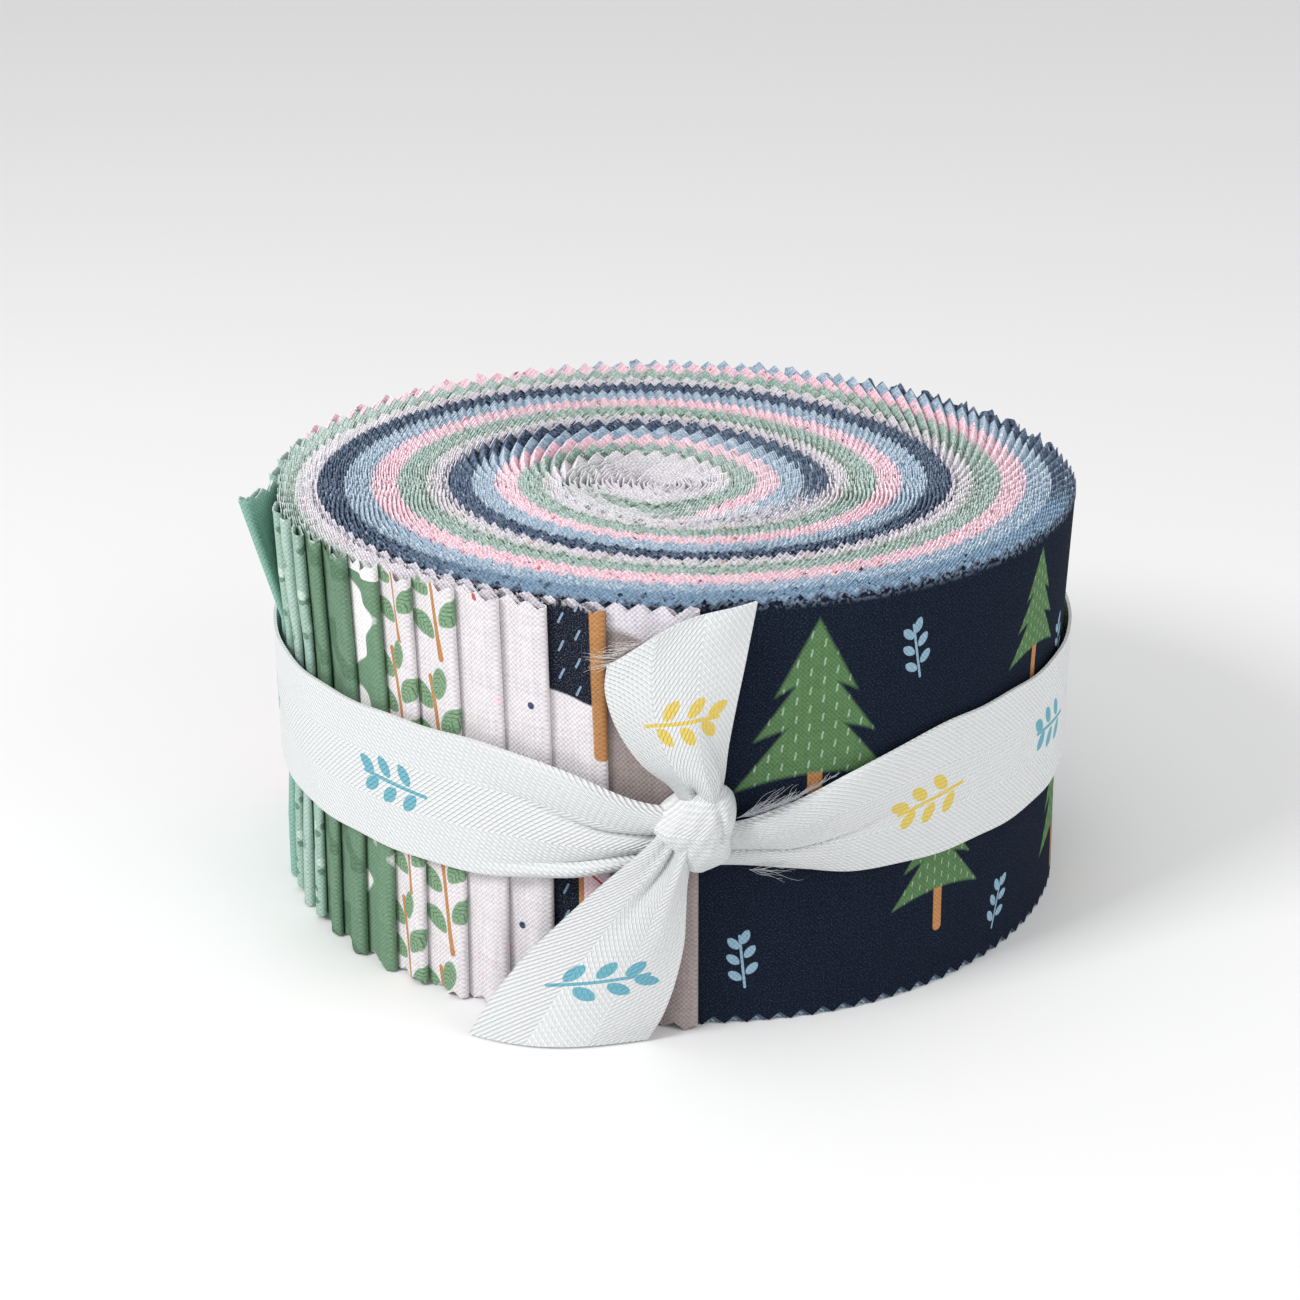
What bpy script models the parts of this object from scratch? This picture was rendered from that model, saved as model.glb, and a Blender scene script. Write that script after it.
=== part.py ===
"""A roll of forty folded cotton strips, tied round its middle with a woven tape.

Units are metres and +Z is up. The roll stands on its flat lower face, with the
origin on the floor under the middle of its rim. Angles are in degrees, counted
counterclockwise from +X as seen from above; the knot faces -Y.

The strips lie on each other as one thick stack, and the stack is wound as a
spiral that runs outward counterclockwise. Each strip's folded end shows on the
rim as an upright pleat. The roll is one solid of that wound form, and its fine
layers belong to the finish.
"""
import math
from collections import namedtuple

import bmesh
import bpy

MM = 0.001

# Driving sizes of the roll
STRIP_WIDTH = 63.5 * MM
ROLL_RADIUS = 60.7 * MM
STACK_THICKNESS = 17.5 * MM
STRIP_COUNT = 40
PINKING_DEPTH = 1.3 * MM
GAP = 0.3 * MM

# Driving sizes of the tape
TAPE_THICKNESS = 1.0 * MM
TAPE_CLEAR = 0.15 * MM

# How the rim is pressed: out at the top edge, in under the tape
WAIST_LOW = 19.5 * MM
WAIST_HIGH = 43.5 * MM
WAIST_PRESS = 0.4 * MM
TOP_FLARE = 0.3 * MM
RIM_FLAT_DEPTH = 1.8 * MM
RIM_FLAT_ANGLE = 48.0
RIM_FLAT_SPREAD = 50.0

# How the winding is squeezed off centre inside its round rim
CENTRE_SHIFT = (-2.0 * MM, -10.5 * MM)
MIDDLE_SHIFT = (2.0 * MM, 2.2 * MM)
CROWDING = -0.147
OVAL = -0.074

# The folded ends on the rim, in degrees. The last ones are those at the front.
OUTER_FOLD = 371.0
FLAP_FOLD = 553.8
FRONT_FOLDS = (559.0, 564.0, 569.0, 574.5, 581.5, 588.0, 594.0, 601.0, 607.5, 614.0, 621.6, 633.3)
FLAP_STRIP = STRIP_COUNT - len(FRONT_FOLDS) - 1
PLEAT_DROP = 1.0 * MM
PLEAT_UNEVEN = 0.3 * MM
FLAP_POCKET = 1.6 * MM
PLAIN_COLUMNS = 61

# The top's relief: one groove where a turn of the stack meets the next
GROOVE_DEPTH = 1.0 * MM
GROOVE_HALF_SHARE = 0.07
TURN_FEATURES = (1.0 - GROOVE_HALF_SHARE, 0.5, GROOVE_HALF_SHARE, 0.0)
RIM_BAND = 2.4 * MM
FEATURE_MARGIN = 0.9 * MM
CORE_RADIUS = 6.5 * MM

PleatPoint = namedtuple("PleatPoint", "share drop")
PLEAT = (
    PleatPoint(share=0.03, drop=1.0),
    PleatPoint(share=0.32, drop=0.8),
    PleatPoint(share=0.64, drop=0.55),
    PleatPoint(share=0.86, drop=0.0),
    PleatPoint(share=0.985, drop=0.35),
)

BandSection = namedtuple("BandSection", "angle low high thick ridge")
BAND = (
    BandSection(angle=278.3, low=26.0, high=32.4, thick=2.8, ridge=0.6),
    BandSection(angle=285.0, low=24.8, high=34.5, thick=2.2, ridge=0.6),
    BandSection(angle=292.0, low=22.6, high=38.0, thick=1.7, ridge=0.5),
    BandSection(angle=301.0, low=21.6, high=40.6, thick=1.3, ridge=0.3),
    BandSection(angle=320.0, low=21.2, high=41.5, thick=1.0, ridge=0.0),
    BandSection(angle=450.0, low=21.6, high=41.8, thick=1.0, ridge=0.0),
    BandSection(angle=600.0, low=21.2, high=41.6, thick=1.0, ridge=0.0),
    BandSection(angle=611.0, low=22.2, high=40.8, thick=1.2, ridge=0.2),
    BandSection(angle=619.0, low=23.6, high=38.0, thick=1.8, ridge=0.5),
    BandSection(angle=626.7, low=26.4, high=34.6, thick=2.8, ridge=0.6),
)
BAND_STEP = 4.4
BAND_ROWS = (0.0, 0.3, 0.55, 0.8, 1.0)
BAND_RIDGE = (0.0, 1.0, -0.7, 1.0, 0.0)

TailRow = namedtuple("TailRow", "left_angle left_height left_radius right_angle right_height right_radius")
UPPER_TAIL = (
    TailRow(269.6, 38.3, 62.4, 276.4, 38.4, 62.4),
    TailRow(266.2, 41.2, 62.0, 276.9, 43.5, 62.2),
    TailRow(263.3, 46.0, 61.8, 277.8, 50.0, 62.0),
    TailRow(261.9, 51.0, 61.7, 279.0, 57.0, 61.8),
    TailRow(262.2, 54.9, 61.7, 280.0, 63.7, 61.8),
)
LOWER_TAIL = (
    TailRow(266.9, 30.2, 64.9, 271.6, 24.8, 64.3),
    TailRow(262.2, 25.2, 65.4, 271.5, 20.6, 64.3),
    TailRow(257.6, 19.8, 65.9, 271.3, 15.2, 63.9),
    TailRow(252.6, 13.2, 66.6, 270.2, 9.0, 63.7),
    TailRow(248.8, 6.8, 67.3, 268.7, 4.0, 63.7),
    TailRow(245.8, 0.4, 68.0, 266.9, 0.4, 63.8),
)
TAIL_COLUMNS = 7
TAIL_BOW = 1.3 * MM

# The knot: a lump that leans to the right, flat where it lies on the roll
KNOT_ANGLE = 272.7
KNOT_HEIGHT = 31.4 * MM
KNOT_HALF_WIDTH = 5.6 * MM
KNOT_HALF_HEIGHT = 6.6 * MM
KNOT_DEPTH = 6.6 * MM
KNOT_LEAN = 0.25
KNOT_BACK = ROLL_RADIUS + 0.5 * MM
KNOT_RINGS = 9
KNOT_SIDES = 20
KNOT_CREASE = 0.10

# The loose end at the left: flush up to the tape, then standing off the roll
FLAP_ROOT = 543.7
FLAP_HELD = 42.0 * MM
FLAP_THICKNESS = 1.0 * MM
FLAP_LIFT = 4.6 * MM
FLAP_COLUMNS = 7
FLAP_HEIGHTS = (0.0, 21.0, 42.0, 49.0, 56.0, 63.5)


def material(name, colour, roughness):
    """A plain finish of one colour."""
    finish = bpy.data.materials.new(name)
    finish.use_nodes = True
    shader = finish.node_tree.nodes["Principled BSDF"]
    shader.inputs["Base Color"].default_value = (*colour, 1.0)
    shader.inputs["Roughness"].default_value = roughness
    shader.inputs["Metallic"].default_value = 0.0
    return finish


def add_object(name, mesh_builder, finish):
    """Turn a bmesh into an object of that name, with its faces pointing out."""
    bmesh.ops.recalc_face_normals(mesh_builder, faces=mesh_builder.faces)
    mesh = bpy.data.meshes.new(name)
    mesh_builder.to_mesh(mesh)
    mesh_builder.free()
    mesh.materials.append(finish)
    created = bpy.data.objects.new(name, mesh)
    bpy.context.collection.objects.link(created)
    return created


def ease(share):
    """A smooth step from 0 to 1."""
    return share * share * (3 - 2 * share)


def rim_radius(angle):
    """The rim's radius, with the flatter stretch at the back right."""
    away = abs((angle - RIM_FLAT_ANGLE + 180) % 360 - 180) / RIM_FLAT_SPREAD
    if away >= 1:
        return ROLL_RADIUS
    return ROLL_RADIUS - RIM_FLAT_DEPTH * ease(1 - away)


def wound_radius(angle, share):
    """The radius before squeezing, at a turning angle and a share of the stack from its outside."""
    return ROLL_RADIUS + STACK_THICKNESS * ((angle - 360) / 360 - share)


def outer_turn(angle):
    """The angle's place on the outermost turn, between the last fold and a full turn after it."""
    last = FRONT_FOLDS[-1] - 360
    return last + (angle - last) % 360


def outermost_radius(angle):
    """The wound radius of the strip that shows on the rim at an angle."""
    turned = outer_turn(angle)
    start = OUTER_FOLD
    share = max(0.0, (turned - start) / (FRONT_FOLDS[-1] - start))
    return wound_radius(turned, share)


def squeeze(reach, angle):
    """The place of a point whose wound radius is a share, reach, of the rim's."""
    turn = math.radians(angle)
    rest = 1 - reach * reach
    pull = 2 * reach * rest
    spread = reach + reach * (1 - reach) * (CROWDING + OVAL * math.sin(2 * turn))
    radius = rim_radius(angle) * spread
    x = CENTRE_SHIFT[0] * rest + MIDDLE_SHIFT[0] * pull + radius * math.cos(turn)
    y = CENTRE_SHIFT[1] * rest + MIDDLE_SHIFT[1] * pull + radius * math.sin(turn)
    return x, y


def around(radius, angle, height):
    """A point in cylinder coordinates about the roll's axis."""
    turn = math.radians(angle)
    return radius * math.cos(turn), radius * math.sin(turn), height


def fold_angles():
    """Where each strip's folded end is, from the outermost strip to the innermost."""
    hidden = [
        OUTER_FOLD + (FLAP_FOLD - 10.4 - OUTER_FOLD) * i / (FLAP_STRIP - 1)
        for i in range(FLAP_STRIP)
    ]
    return [*hidden, FLAP_FOLD, *FRONT_FOLDS]


def rim_push(height):
    """How far the rim stands out or in at a height: pressed under the tape, flared at the top."""
    if height <= WAIST_LOW:
        return -WAIST_PRESS * height / WAIST_LOW
    if height <= WAIST_HIGH:
        return -WAIST_PRESS
    share = (height - WAIST_HIGH) / (STRIP_WIDTH - WAIST_HIGH)
    return (TOP_FLARE + WAIST_PRESS) * share - WAIST_PRESS


def rim_columns():
    """The rim from above, as (angle, how far inside the round rim), counterclockwise."""
    columns = []
    folds = fold_angles()
    start = FRONT_FOLDS[-1] - 360
    for i in range(PLAIN_COLUMNS):
        share = (i + 0.15) / PLAIN_COLUMNS
        columns.append((start + (folds[0] - start) * share, 0.25 * MM * share))
    for number in range(1, STRIP_COUNT):
        first, last = folds[number - 1], folds[number]
        uneven = PLEAT_UNEVEN * (0.5 + 0.5 * math.sin(2.3 * number))
        for point in PLEAT:
            drop = point.drop * PLEAT_DROP + uneven
            if number == FLAP_STRIP:
                drop = FLAP_POCKET
            columns.append((first + (last - first) * point.share, drop))
    return columns


def chain(angle):
    """The keys and reaches of the points between the core and the rim at an angle.

    A key is the turn's number less the share of the stack, so it grows outward
    and is the same for a feature wherever the spiral carries it.
    """
    limit = outermost_radius(angle)
    inner_limit = 1 - (RIM_BAND + FEATURE_MARGIN) / ROLL_RADIUS
    found = []
    for turn in range(-3, 2):
        for share in TURN_FEATURES:
            wound = wound_radius(angle + 360 * turn, share)
            reach = wound / limit
            if wound > CORE_RADIUS and reach < inner_limit:
                found.append((turn - share, reach, share))
    return sorted(found)


def join_chains(builder, first, second):
    """Fill between two neighbouring chains of (key, vertex) with triangles and quads."""
    i, j = 0, 0
    while i < len(first) - 1 or j < len(second) - 1:
        next_first = first[i + 1][0] if i < len(first) - 1 else math.inf
        next_second = second[j + 1][0] if j < len(second) - 1 else math.inf
        step_first = next_first <= next_second + 1e-6
        step_second = next_second <= next_first + 1e-6
        corners = [first[i][1], second[j][1]]
        if step_second:
            j += 1
            corners.append(second[j][1])
        if step_first:
            i += 1
            corners.append(first[i][1])
        corners = list(dict.fromkeys(corners))
        if len(corners) > 2:
            builder.faces.new(corners)


def make_roll(finish):
    """The wound roll: pleated and pinked rim, spiral groove on top, flat below."""
    builder = bmesh.new()
    columns = rim_columns()
    levels = (0.0, WAIST_LOW, WAIST_HIGH, STRIP_WIDTH)
    rim = []
    for i, (angle, inset) in enumerate(columns):
        notch = PINKING_DEPTH * (i % 2)
        pinked = (notch, 0.0, 0.0, -notch)
        stack = []
        for level, cut in zip(levels, pinked):
            radius = rim_radius(angle) - inset + rim_push(level)
            stack.append(builder.verts.new(around(radius, angle, level + cut)))
        rim.append(stack)
    count = len(rim)
    for i in range(count):
        here, there = rim[i], rim[(i + 1) % count]
        for level in range(len(levels) - 1):
            builder.faces.new((here[level], there[level], there[level + 1], here[level + 1]))

    band_reach = 1 - RIM_BAND / ROLL_RADIUS
    top_ring, foot_ring = [], []
    for angle, _ in columns[::2]:
        x, y = squeeze(band_reach, angle)
        top_ring.append(builder.verts.new((x, y, STRIP_WIDTH - 0.2 * PINKING_DEPTH)))
        foot_ring.append(builder.verts.new((x, y, 0.0)))
    for ring, level in ((top_ring, -1), (foot_ring, 0)):
        for i, corner in enumerate(ring):
            after = ring[(i + 1) % len(ring)]
            outer = [rim[(2 * i + k) % count][level] for k in range(3)]
            builder.faces.new((corner, outer[0], outer[1]))
            builder.faces.new((corner, outer[1], after))
            builder.faces.new((after, outer[1], outer[2]))
    builder.faces.new(foot_ring)

    centre = builder.verts.new((*squeeze(0.0, 0.0), STRIP_WIDTH))
    chains = []
    for corner, (angle, _) in zip(top_ring, columns[::2]):
        points = [(-math.inf, centre)]
        for key, reach, share in chain(angle):
            height = STRIP_WIDTH - (GROOVE_DEPTH if share == 0.0 else 0.0)
            points.append((key, builder.verts.new((*squeeze(reach, angle), height))))
        points.append((math.inf, corner))
        chains.append(points)
    for i, first in enumerate(chains):
        second = chains[(i + 1) % len(chains)]
        if i == len(chains) - 1:
            second = [(key - 1, corner) for key, corner in second]
        join_chains(builder, first, second)
    roll = add_object("fabric_roll", builder, finish)
    return roll


def close_sheet(builder, outer, inner):
    """Join two grids of points, one in front of the other, into one closed sheet."""
    rows, columns = len(outer), len(outer[0])
    front = [[builder.verts.new(p) for p in row] for row in outer]
    back = [[builder.verts.new(p) for p in row] for row in inner]
    for r in range(rows - 1):
        for c in range(columns - 1):
            builder.faces.new((front[r][c], front[r][c + 1], front[r + 1][c + 1], front[r + 1][c]))
            builder.faces.new((back[r][c], back[r + 1][c], back[r + 1][c + 1], back[r][c + 1]))
    edge = [(0, c) for c in range(columns)]
    edge += [(r, columns - 1) for r in range(1, rows)]
    edge += [(rows - 1, c) for c in range(columns - 2, -1, -1)]
    edge += [(r, 0) for r in range(rows - 2, 0, -1)]
    for (r, c), (next_r, next_c) in zip(edge, edge[1:] + edge[:1]):
        builder.faces.new((front[r][c], back[r][c], back[next_r][next_c], front[next_r][next_c]))


def make_loose_end(finish):
    """The strip end that stands off the roll above the tape, with its pinked top edge."""
    builder = bmesh.new()
    outer, inner = [], []
    seat = ROLL_RADIUS - FLAP_POCKET + GAP
    for row, height_mm in enumerate(FLAP_HEIGHTS):
        height = height_mm * MM
        free = max(0.0, (height - FLAP_HELD) / (STRIP_WIDTH - FLAP_HELD))
        outer_row, inner_row = [], []
        for column in range(FLAP_COLUMNS):
            along = column / (FLAP_COLUMNS - 1)
            angle = FLAP_ROOT + 0.35 + (FLAP_FOLD - FLAP_ROOT - 0.7) * along
            lift = FLAP_LIFT * ease(free) * (0.35 * along + 0.65 * along * along)
            notch = PINKING_DEPTH * (column % 2)
            level = height
            if row == 0:
                level = notch
            elif row == len(FLAP_HEIGHTS) - 1:
                level = height - notch
            radius = seat + rim_push(height) + lift
            outer_row.append(around(radius + FLAP_THICKNESS, angle, level))
            inner_row.append(around(radius, angle, level))
        outer.append(outer_row)
        inner.append(inner_row)
    close_sheet(builder, outer, inner)
    return add_object("loose_end", builder, finish)


def between(table, angle):
    """The section of a table at an angle, from the sections on its two sides."""
    for first, second in zip(table, table[1:]):
        if angle <= second.angle:
            share = ease((angle - first.angle) / (second.angle - first.angle))
            return type(first)(*(a + (b - a) * share for a, b in zip(first, second)))
    return table[-1]


def make_band(finish):
    """The tape round the middle, gathered to a ridged bundle at each side of the knot."""
    builder = bmesh.new()
    start, end = BAND[0].angle, BAND[-1].angle
    steps = math.ceil((end - start) / BAND_STEP)
    outer, inner = [], []
    for step in range(steps + 1):
        angle = start + (end - start) * step / steps
        section = between(BAND, angle)
        inside = rim_radius(angle) + TAPE_CLEAR
        outer_row, inner_row = [], []
        for share, ridge in zip(BAND_ROWS, BAND_RIDGE):
            height = (section.low + (section.high - section.low) * share) * MM
            thick = (section.thick + section.ridge * ridge) * MM
            outer_row.append(around(inside + thick, angle, height))
            inner_row.append(around(inside, angle, height))
        outer.append(outer_row)
        inner.append(inner_row)
    close_sheet(builder, outer, inner)
    return add_object("tape_band", builder, finish)


def make_tail(name, rows, finish):
    """A free end of the tape: a bowed sheet between the left and right edges of a table."""
    builder = bmesh.new()
    outer, inner = [], []
    for row in rows:
        outer_row, inner_row = [], []
        for column in range(TAIL_COLUMNS):
            share = column / (TAIL_COLUMNS - 1)
            angle = row.left_angle + (row.right_angle - row.left_angle) * share
            height = (row.left_height + (row.right_height - row.left_height) * share) * MM
            radius = (row.left_radius + (row.right_radius - row.left_radius) * share) * MM
            radius += TAIL_BOW * math.sin(math.pi * share)
            outer_row.append(around(radius + TAPE_THICKNESS, angle, height))
            inner_row.append(around(radius, angle, height))
        outer.append(outer_row)
        inner.append(inner_row)
    close_sheet(builder, outer, inner)
    return add_object(name, builder, finish)


def make_knot(finish):
    """The knot: a domed lump with a crease across it, turned round its own front point."""
    builder = bmesh.new()
    rings = []
    for ring in range(KNOT_RINGS):
        lift = ring / KNOT_RINGS * math.pi / 2
        loop = []
        for side in range(KNOT_SIDES):
            turn = 2 * math.pi * side / KNOT_SIDES
            crease = 1 - KNOT_CREASE * math.cos(2 * turn - 1.2) - KNOT_CREASE * math.cos(3 * turn)
            across = KNOT_HALF_WIDTH * math.cos(turn) * math.cos(lift) * crease
            up = KNOT_HALF_HEIGHT * math.sin(turn) * math.cos(lift) * crease
            across += KNOT_LEAN * up
            deep = KNOT_DEPTH * math.sin(lift) * (1 - 0.4 * KNOT_CREASE * math.cos(2 * turn))
            angle = KNOT_ANGLE + math.degrees(across / ROLL_RADIUS)
            loop.append(builder.verts.new(around(KNOT_BACK + deep, angle, KNOT_HEIGHT + up)))
        rings.append(loop)
    tip = builder.verts.new(around(KNOT_BACK + KNOT_DEPTH, KNOT_ANGLE, KNOT_HEIGHT))
    back = builder.verts.new(around(KNOT_BACK, KNOT_ANGLE, KNOT_HEIGHT))
    for i in range(KNOT_SIDES):
        after = (i + 1) % KNOT_SIDES
        for lower, upper in zip(rings, rings[1:]):
            builder.faces.new((lower[i], lower[after], upper[after], upper[i]))
        builder.faces.new((rings[-1][i], rings[-1][after], tip))
        builder.faces.new((rings[0][after], rings[0][i], back))
    knot = add_object("tape_knot", builder, finish)
    knot.data.shade_smooth()
    return knot


def main():
    """Clear the scene and build every piece."""
    for leftover in list(bpy.data.objects):
        bpy.data.objects.remove(leftover)
    cotton = material("printed cotton", (0.36, 0.50, 0.55), 0.9)
    flap_cotton = material("sage cotton", (0.38, 0.58, 0.45), 0.9)
    twill = material("white twill tape", (0.80, 0.80, 0.80), 0.75)
    make_roll(cotton)
    make_loose_end(flap_cotton)
    make_band(twill)
    make_knot(twill)
    make_tail("tape_tail_upper", UPPER_TAIL, twill)
    make_tail("tape_tail_lower", LOWER_TAIL, twill)


main()
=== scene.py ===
"""Looks of the roll of forty cotton strips tied with a woven tape.

The sizes repeat those of the CAD source, in metres and degrees. Angles count
counterclockwise from +X as seen from above, and the knot faces -Y.

Each strip is one sheet. It starts at the middle of the roll, runs outward along
its outer layer, turns round its fold on the rim and runs back along its inner
layer, so that its printed side is always on the right of the way it runs.
"""
import logging
import math
from dataclasses import dataclass
from enum import Enum
from typing import Callable, Iterable, Sequence

import bpy
import numpy as np
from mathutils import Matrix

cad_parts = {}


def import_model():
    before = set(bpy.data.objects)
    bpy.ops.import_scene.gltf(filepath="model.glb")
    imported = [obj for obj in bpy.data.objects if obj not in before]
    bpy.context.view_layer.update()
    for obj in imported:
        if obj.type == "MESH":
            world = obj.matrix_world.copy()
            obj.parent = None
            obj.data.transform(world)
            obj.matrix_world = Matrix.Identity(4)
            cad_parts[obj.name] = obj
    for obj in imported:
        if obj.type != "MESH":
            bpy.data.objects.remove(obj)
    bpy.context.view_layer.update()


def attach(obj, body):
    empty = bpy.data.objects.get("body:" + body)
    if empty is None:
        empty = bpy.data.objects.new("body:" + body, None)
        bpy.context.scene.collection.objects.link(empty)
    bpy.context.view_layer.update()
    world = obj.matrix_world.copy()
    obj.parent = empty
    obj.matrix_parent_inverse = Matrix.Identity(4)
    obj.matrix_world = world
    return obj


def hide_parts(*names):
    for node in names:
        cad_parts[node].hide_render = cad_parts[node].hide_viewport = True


LOG = logging.getLogger("fabric_roll")
MM = 0.001
Colour = tuple[float, float, float, float]


def srgb(red: float, green: float, blue: float) -> Colour:
    """Turn an 8-bit screen colour into a linear one.

    Args:
        red: Red from 0 to 255.
        green: Green from 0 to 255.
        blue: Blue from 0 to 255.

    Returns:
        The linear colour with an alpha of 1.
    """
    linear = []
    for value in (red, green, blue):
        part = value / 255
        linear.append(part / 12.92 if part <= 0.04045 else ((part + 0.055) / 1.055) ** 2.4)
    return (linear[0], linear[1], linear[2], 1.0)


def ease(share: np.ndarray | float) -> np.ndarray | float:
    """A smooth step.

    Args:
        share: Values, cut to 0 to 1 first.

    Returns:
        The eased values, from 0 to 1.
    """
    cut = np.clip(share, 0.0, 1.0)
    return cut * cut * (3 - 2 * cut)


@dataclass(frozen=True)
class RollSizes:
    """Sizes of the wound stack, as in the CAD source."""

    height: float = 63.5 * MM
    radius: float = 60.7 * MM
    stack: float = 17.5 * MM
    strips: int = 40
    flat_depth: float = 1.8 * MM
    flat_angle: float = 48.0
    flat_spread: float = 50.0
    centre_shift: tuple[float, float] = (-2.0 * MM, -10.5 * MM)
    middle_shift: tuple[float, float] = (2.0 * MM, 2.2 * MM)
    crowding: float = -0.147
    oval: float = -0.074
    waist_low: float = 19.5 * MM
    waist_high: float = 43.5 * MM
    waist_press: float = 0.4 * MM
    top_flare: float = 0.3 * MM
    outer_fold: float = 371.0
    last_hidden: float = 543.4
    flap_fold: float = 553.8
    flap_root: float = 543.7
    flap_held: float = 42.0 * MM
    flap_lift: float = 4.6 * MM
    front_folds: tuple[float, ...] = (
        559.0, 564.0, 569.0, 574.5, 581.5, 588.0, 594.0, 601.0, 607.5, 614.0, 621.6, 633.3,
    )


@dataclass(frozen=True)
class ClothSizes:
    """Sizes of one strip's cloth and of its pinked edges."""

    thickness: float = 0.17 * MM
    pitch: float = 3.175 * MM
    tooth: float = 1.4 * MM
    reference_angle: float = -305.0
    nose: float = 0.75 * MM
    settle: float = 1.0 * MM
    rim_drop: float = 0.9 * MM
    flat_length: float = 1.15


class Rows(Enum):
    """Which heights a column of points has, from the full list of heights."""

    HIDDEN = (0, 7, 8)
    OUTER = (0, 3, 5, 7, 8)
    SHOWN = (0, 1, 2, 3, 4, 5, 6, 7, 8)


HEIGHTS = np.array([0.0, 3.0, 10.0, 20.0, 31.0, 43.0, 52.0, 61.5, 63.5]) * MM


class Winding:
    """The squeezed spiral that every layer of the stack follows."""

    def __init__(self, sizes: RollSizes, cloth: ClothSizes) -> None:
        """Set out the folds and where the layers end inside.

        Args:
            sizes: Sizes of the roll.
            cloth: Sizes of the cloth.
        """
        self.sizes = sizes
        self.cloth = cloth
        flap = sizes.strips - len(sizes.front_folds) - 1
        self.flap_strip = flap
        span = sizes.last_hidden - sizes.outer_fold
        hidden = [sizes.outer_fold + span * i / (flap - 1) for i in range(flap)]
        self.folds = np.array([*hidden, sizes.flap_fold, *sizes.front_folds])
        self.random = np.random.default_rng(11)
        self.ends = self._inner_ends()
        self.share_angles = np.arange(-900.0, -340.0, 2.0)
        self.share_table = self._shares()

    def _inner_ends(self) -> np.ndarray:
        """Choose the turning angle at which each layer ends inside.

        Returns:
            One angle for each of the layers, outermost first.
        """
        number = np.arange(2 * self.sizes.strips) // 2
        ends = np.interp(number, (0, 8, 16, 24, 30, 33, 39), (-428, -434, -440, -462, -525, -680, -860))
        spread = np.interp(number, (0, 24, 39), (18.0, 14.0, 24.0))
        return ends + spread * self.random.uniform(-1, 1, number.size)

    def _shares(self) -> np.ndarray:
        """Work out how the layers still present fill the stack near the middle.

        Returns:
            A table of shares of the stack, one row for each angle and one column for each layer.
        """
        room = ease((self.share_angles[:, None] - self.ends[None, :]) / 26.0 + 0.04)
        before = np.cumsum(room, axis=1) - 0.5 * room
        total = np.maximum(np.sum(room, axis=1, keepdims=True), 4.0)
        return before / total

    def rim_radius(self, angle: np.ndarray) -> np.ndarray:
        """The rim's radius, with the flatter stretch at the back right.

        Args:
            angle: Angles in degrees.

        Returns:
            Radii in metres.
        """
        sizes = self.sizes
        away = np.abs((angle - sizes.flat_angle + 180) % 360 - 180) / sizes.flat_spread
        return sizes.radius - sizes.flat_depth * ease(1 - away)

    def wound_radius(self, angle: np.ndarray, share: np.ndarray | float) -> np.ndarray:
        """The radius before squeezing.

        Args:
            angle: Turning angles in degrees, growing outward.
            share: Share of the stack from its outside.

        Returns:
            Radii in metres.
        """
        return self.sizes.radius + self.sizes.stack * ((angle - 360) / 360 - share)

    def outer_turn(self, angle: np.ndarray) -> np.ndarray:
        """Move angles to the outermost turn, which starts at the last fold.

        Args:
            angle: Angles in degrees.

        Returns:
            The same directions, on the outermost turn.
        """
        last = self.sizes.front_folds[-1] - 360
        return last + (angle - last) % 360

    def outermost(self, angle: np.ndarray) -> np.ndarray:
        """The wound radius of the strip that shows on the rim.

        Args:
            angle: Angles in degrees.

        Returns:
            Radii in metres.
        """
        turned = self.outer_turn(angle)
        start, last = self.sizes.outer_fold, self.sizes.front_folds[-1]
        share = np.maximum(0.0, (turned - start) / (last - start))
        return self.wound_radius(turned, share)

    def layer_radius(self, angle: np.ndarray, layer: int) -> np.ndarray:
        """The wound radius of a layer's middle.

        Args:
            angle: Turning angles in degrees.
            layer: The layer's number, counted from the outside of the stack.

        Returns:
            Radii in metres.
        """
        plain = (layer + 0.5) / (2 * self.sizes.strips)
        inside = np.interp(angle, self.share_angles, self.share_table[:, layer])
        share = np.where(angle < self.share_angles[-1], inside, plain)
        outer = self.wound_radius(angle, 0.0)
        inner = np.maximum(self.wound_radius(angle, 1.0), 0.8 * MM)
        return outer - share * (outer - inner)

    def place(self, angle: np.ndarray, wound: np.ndarray) -> tuple[np.ndarray, np.ndarray]:
        """Squeeze wound positions into the round rim.

        Args:
            angle: Angles in degrees.
            wound: Wound radii in metres.

        Returns:
            Points as an array of two columns, and each point's reach as a share of the rim.
        """
        sizes = self.sizes
        turn = np.radians(angle)
        reach = wound / self.outermost(angle)
        rest = 1 - reach * reach
        pull = 2 * reach * rest
        spread = reach + reach * (1 - reach) * (sizes.crowding + sizes.oval * np.sin(2 * turn))
        radius = self.rim_radius(angle) * spread
        x = sizes.centre_shift[0] * rest + sizes.middle_shift[0] * pull + radius * np.cos(turn)
        y = sizes.centre_shift[1] * rest + sizes.middle_shift[1] * pull + radius * np.sin(turn)
        return np.stack([x, y], axis=-1), reach

    def settled(self, angle: np.ndarray, reach: np.ndarray) -> np.ndarray:
        """How far layers near the rim lie in, where folds stand on the rim.

        Args:
            angle: Angles in degrees.
            reach: Shares of the rim's radius.

        Returns:
            Distances inward in metres.
        """
        turned = self.outer_turn(angle)
        first, last = self.sizes.front_folds[-1] - 360, self.sizes.outer_fold
        plain = ease((turned - first) / 26.0) * ease((last - turned) / 26.0)
        depth = self.cloth.settle * (1 - 0.9 * plain)
        return depth * ease((reach - 0.86) / 0.14)

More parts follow.
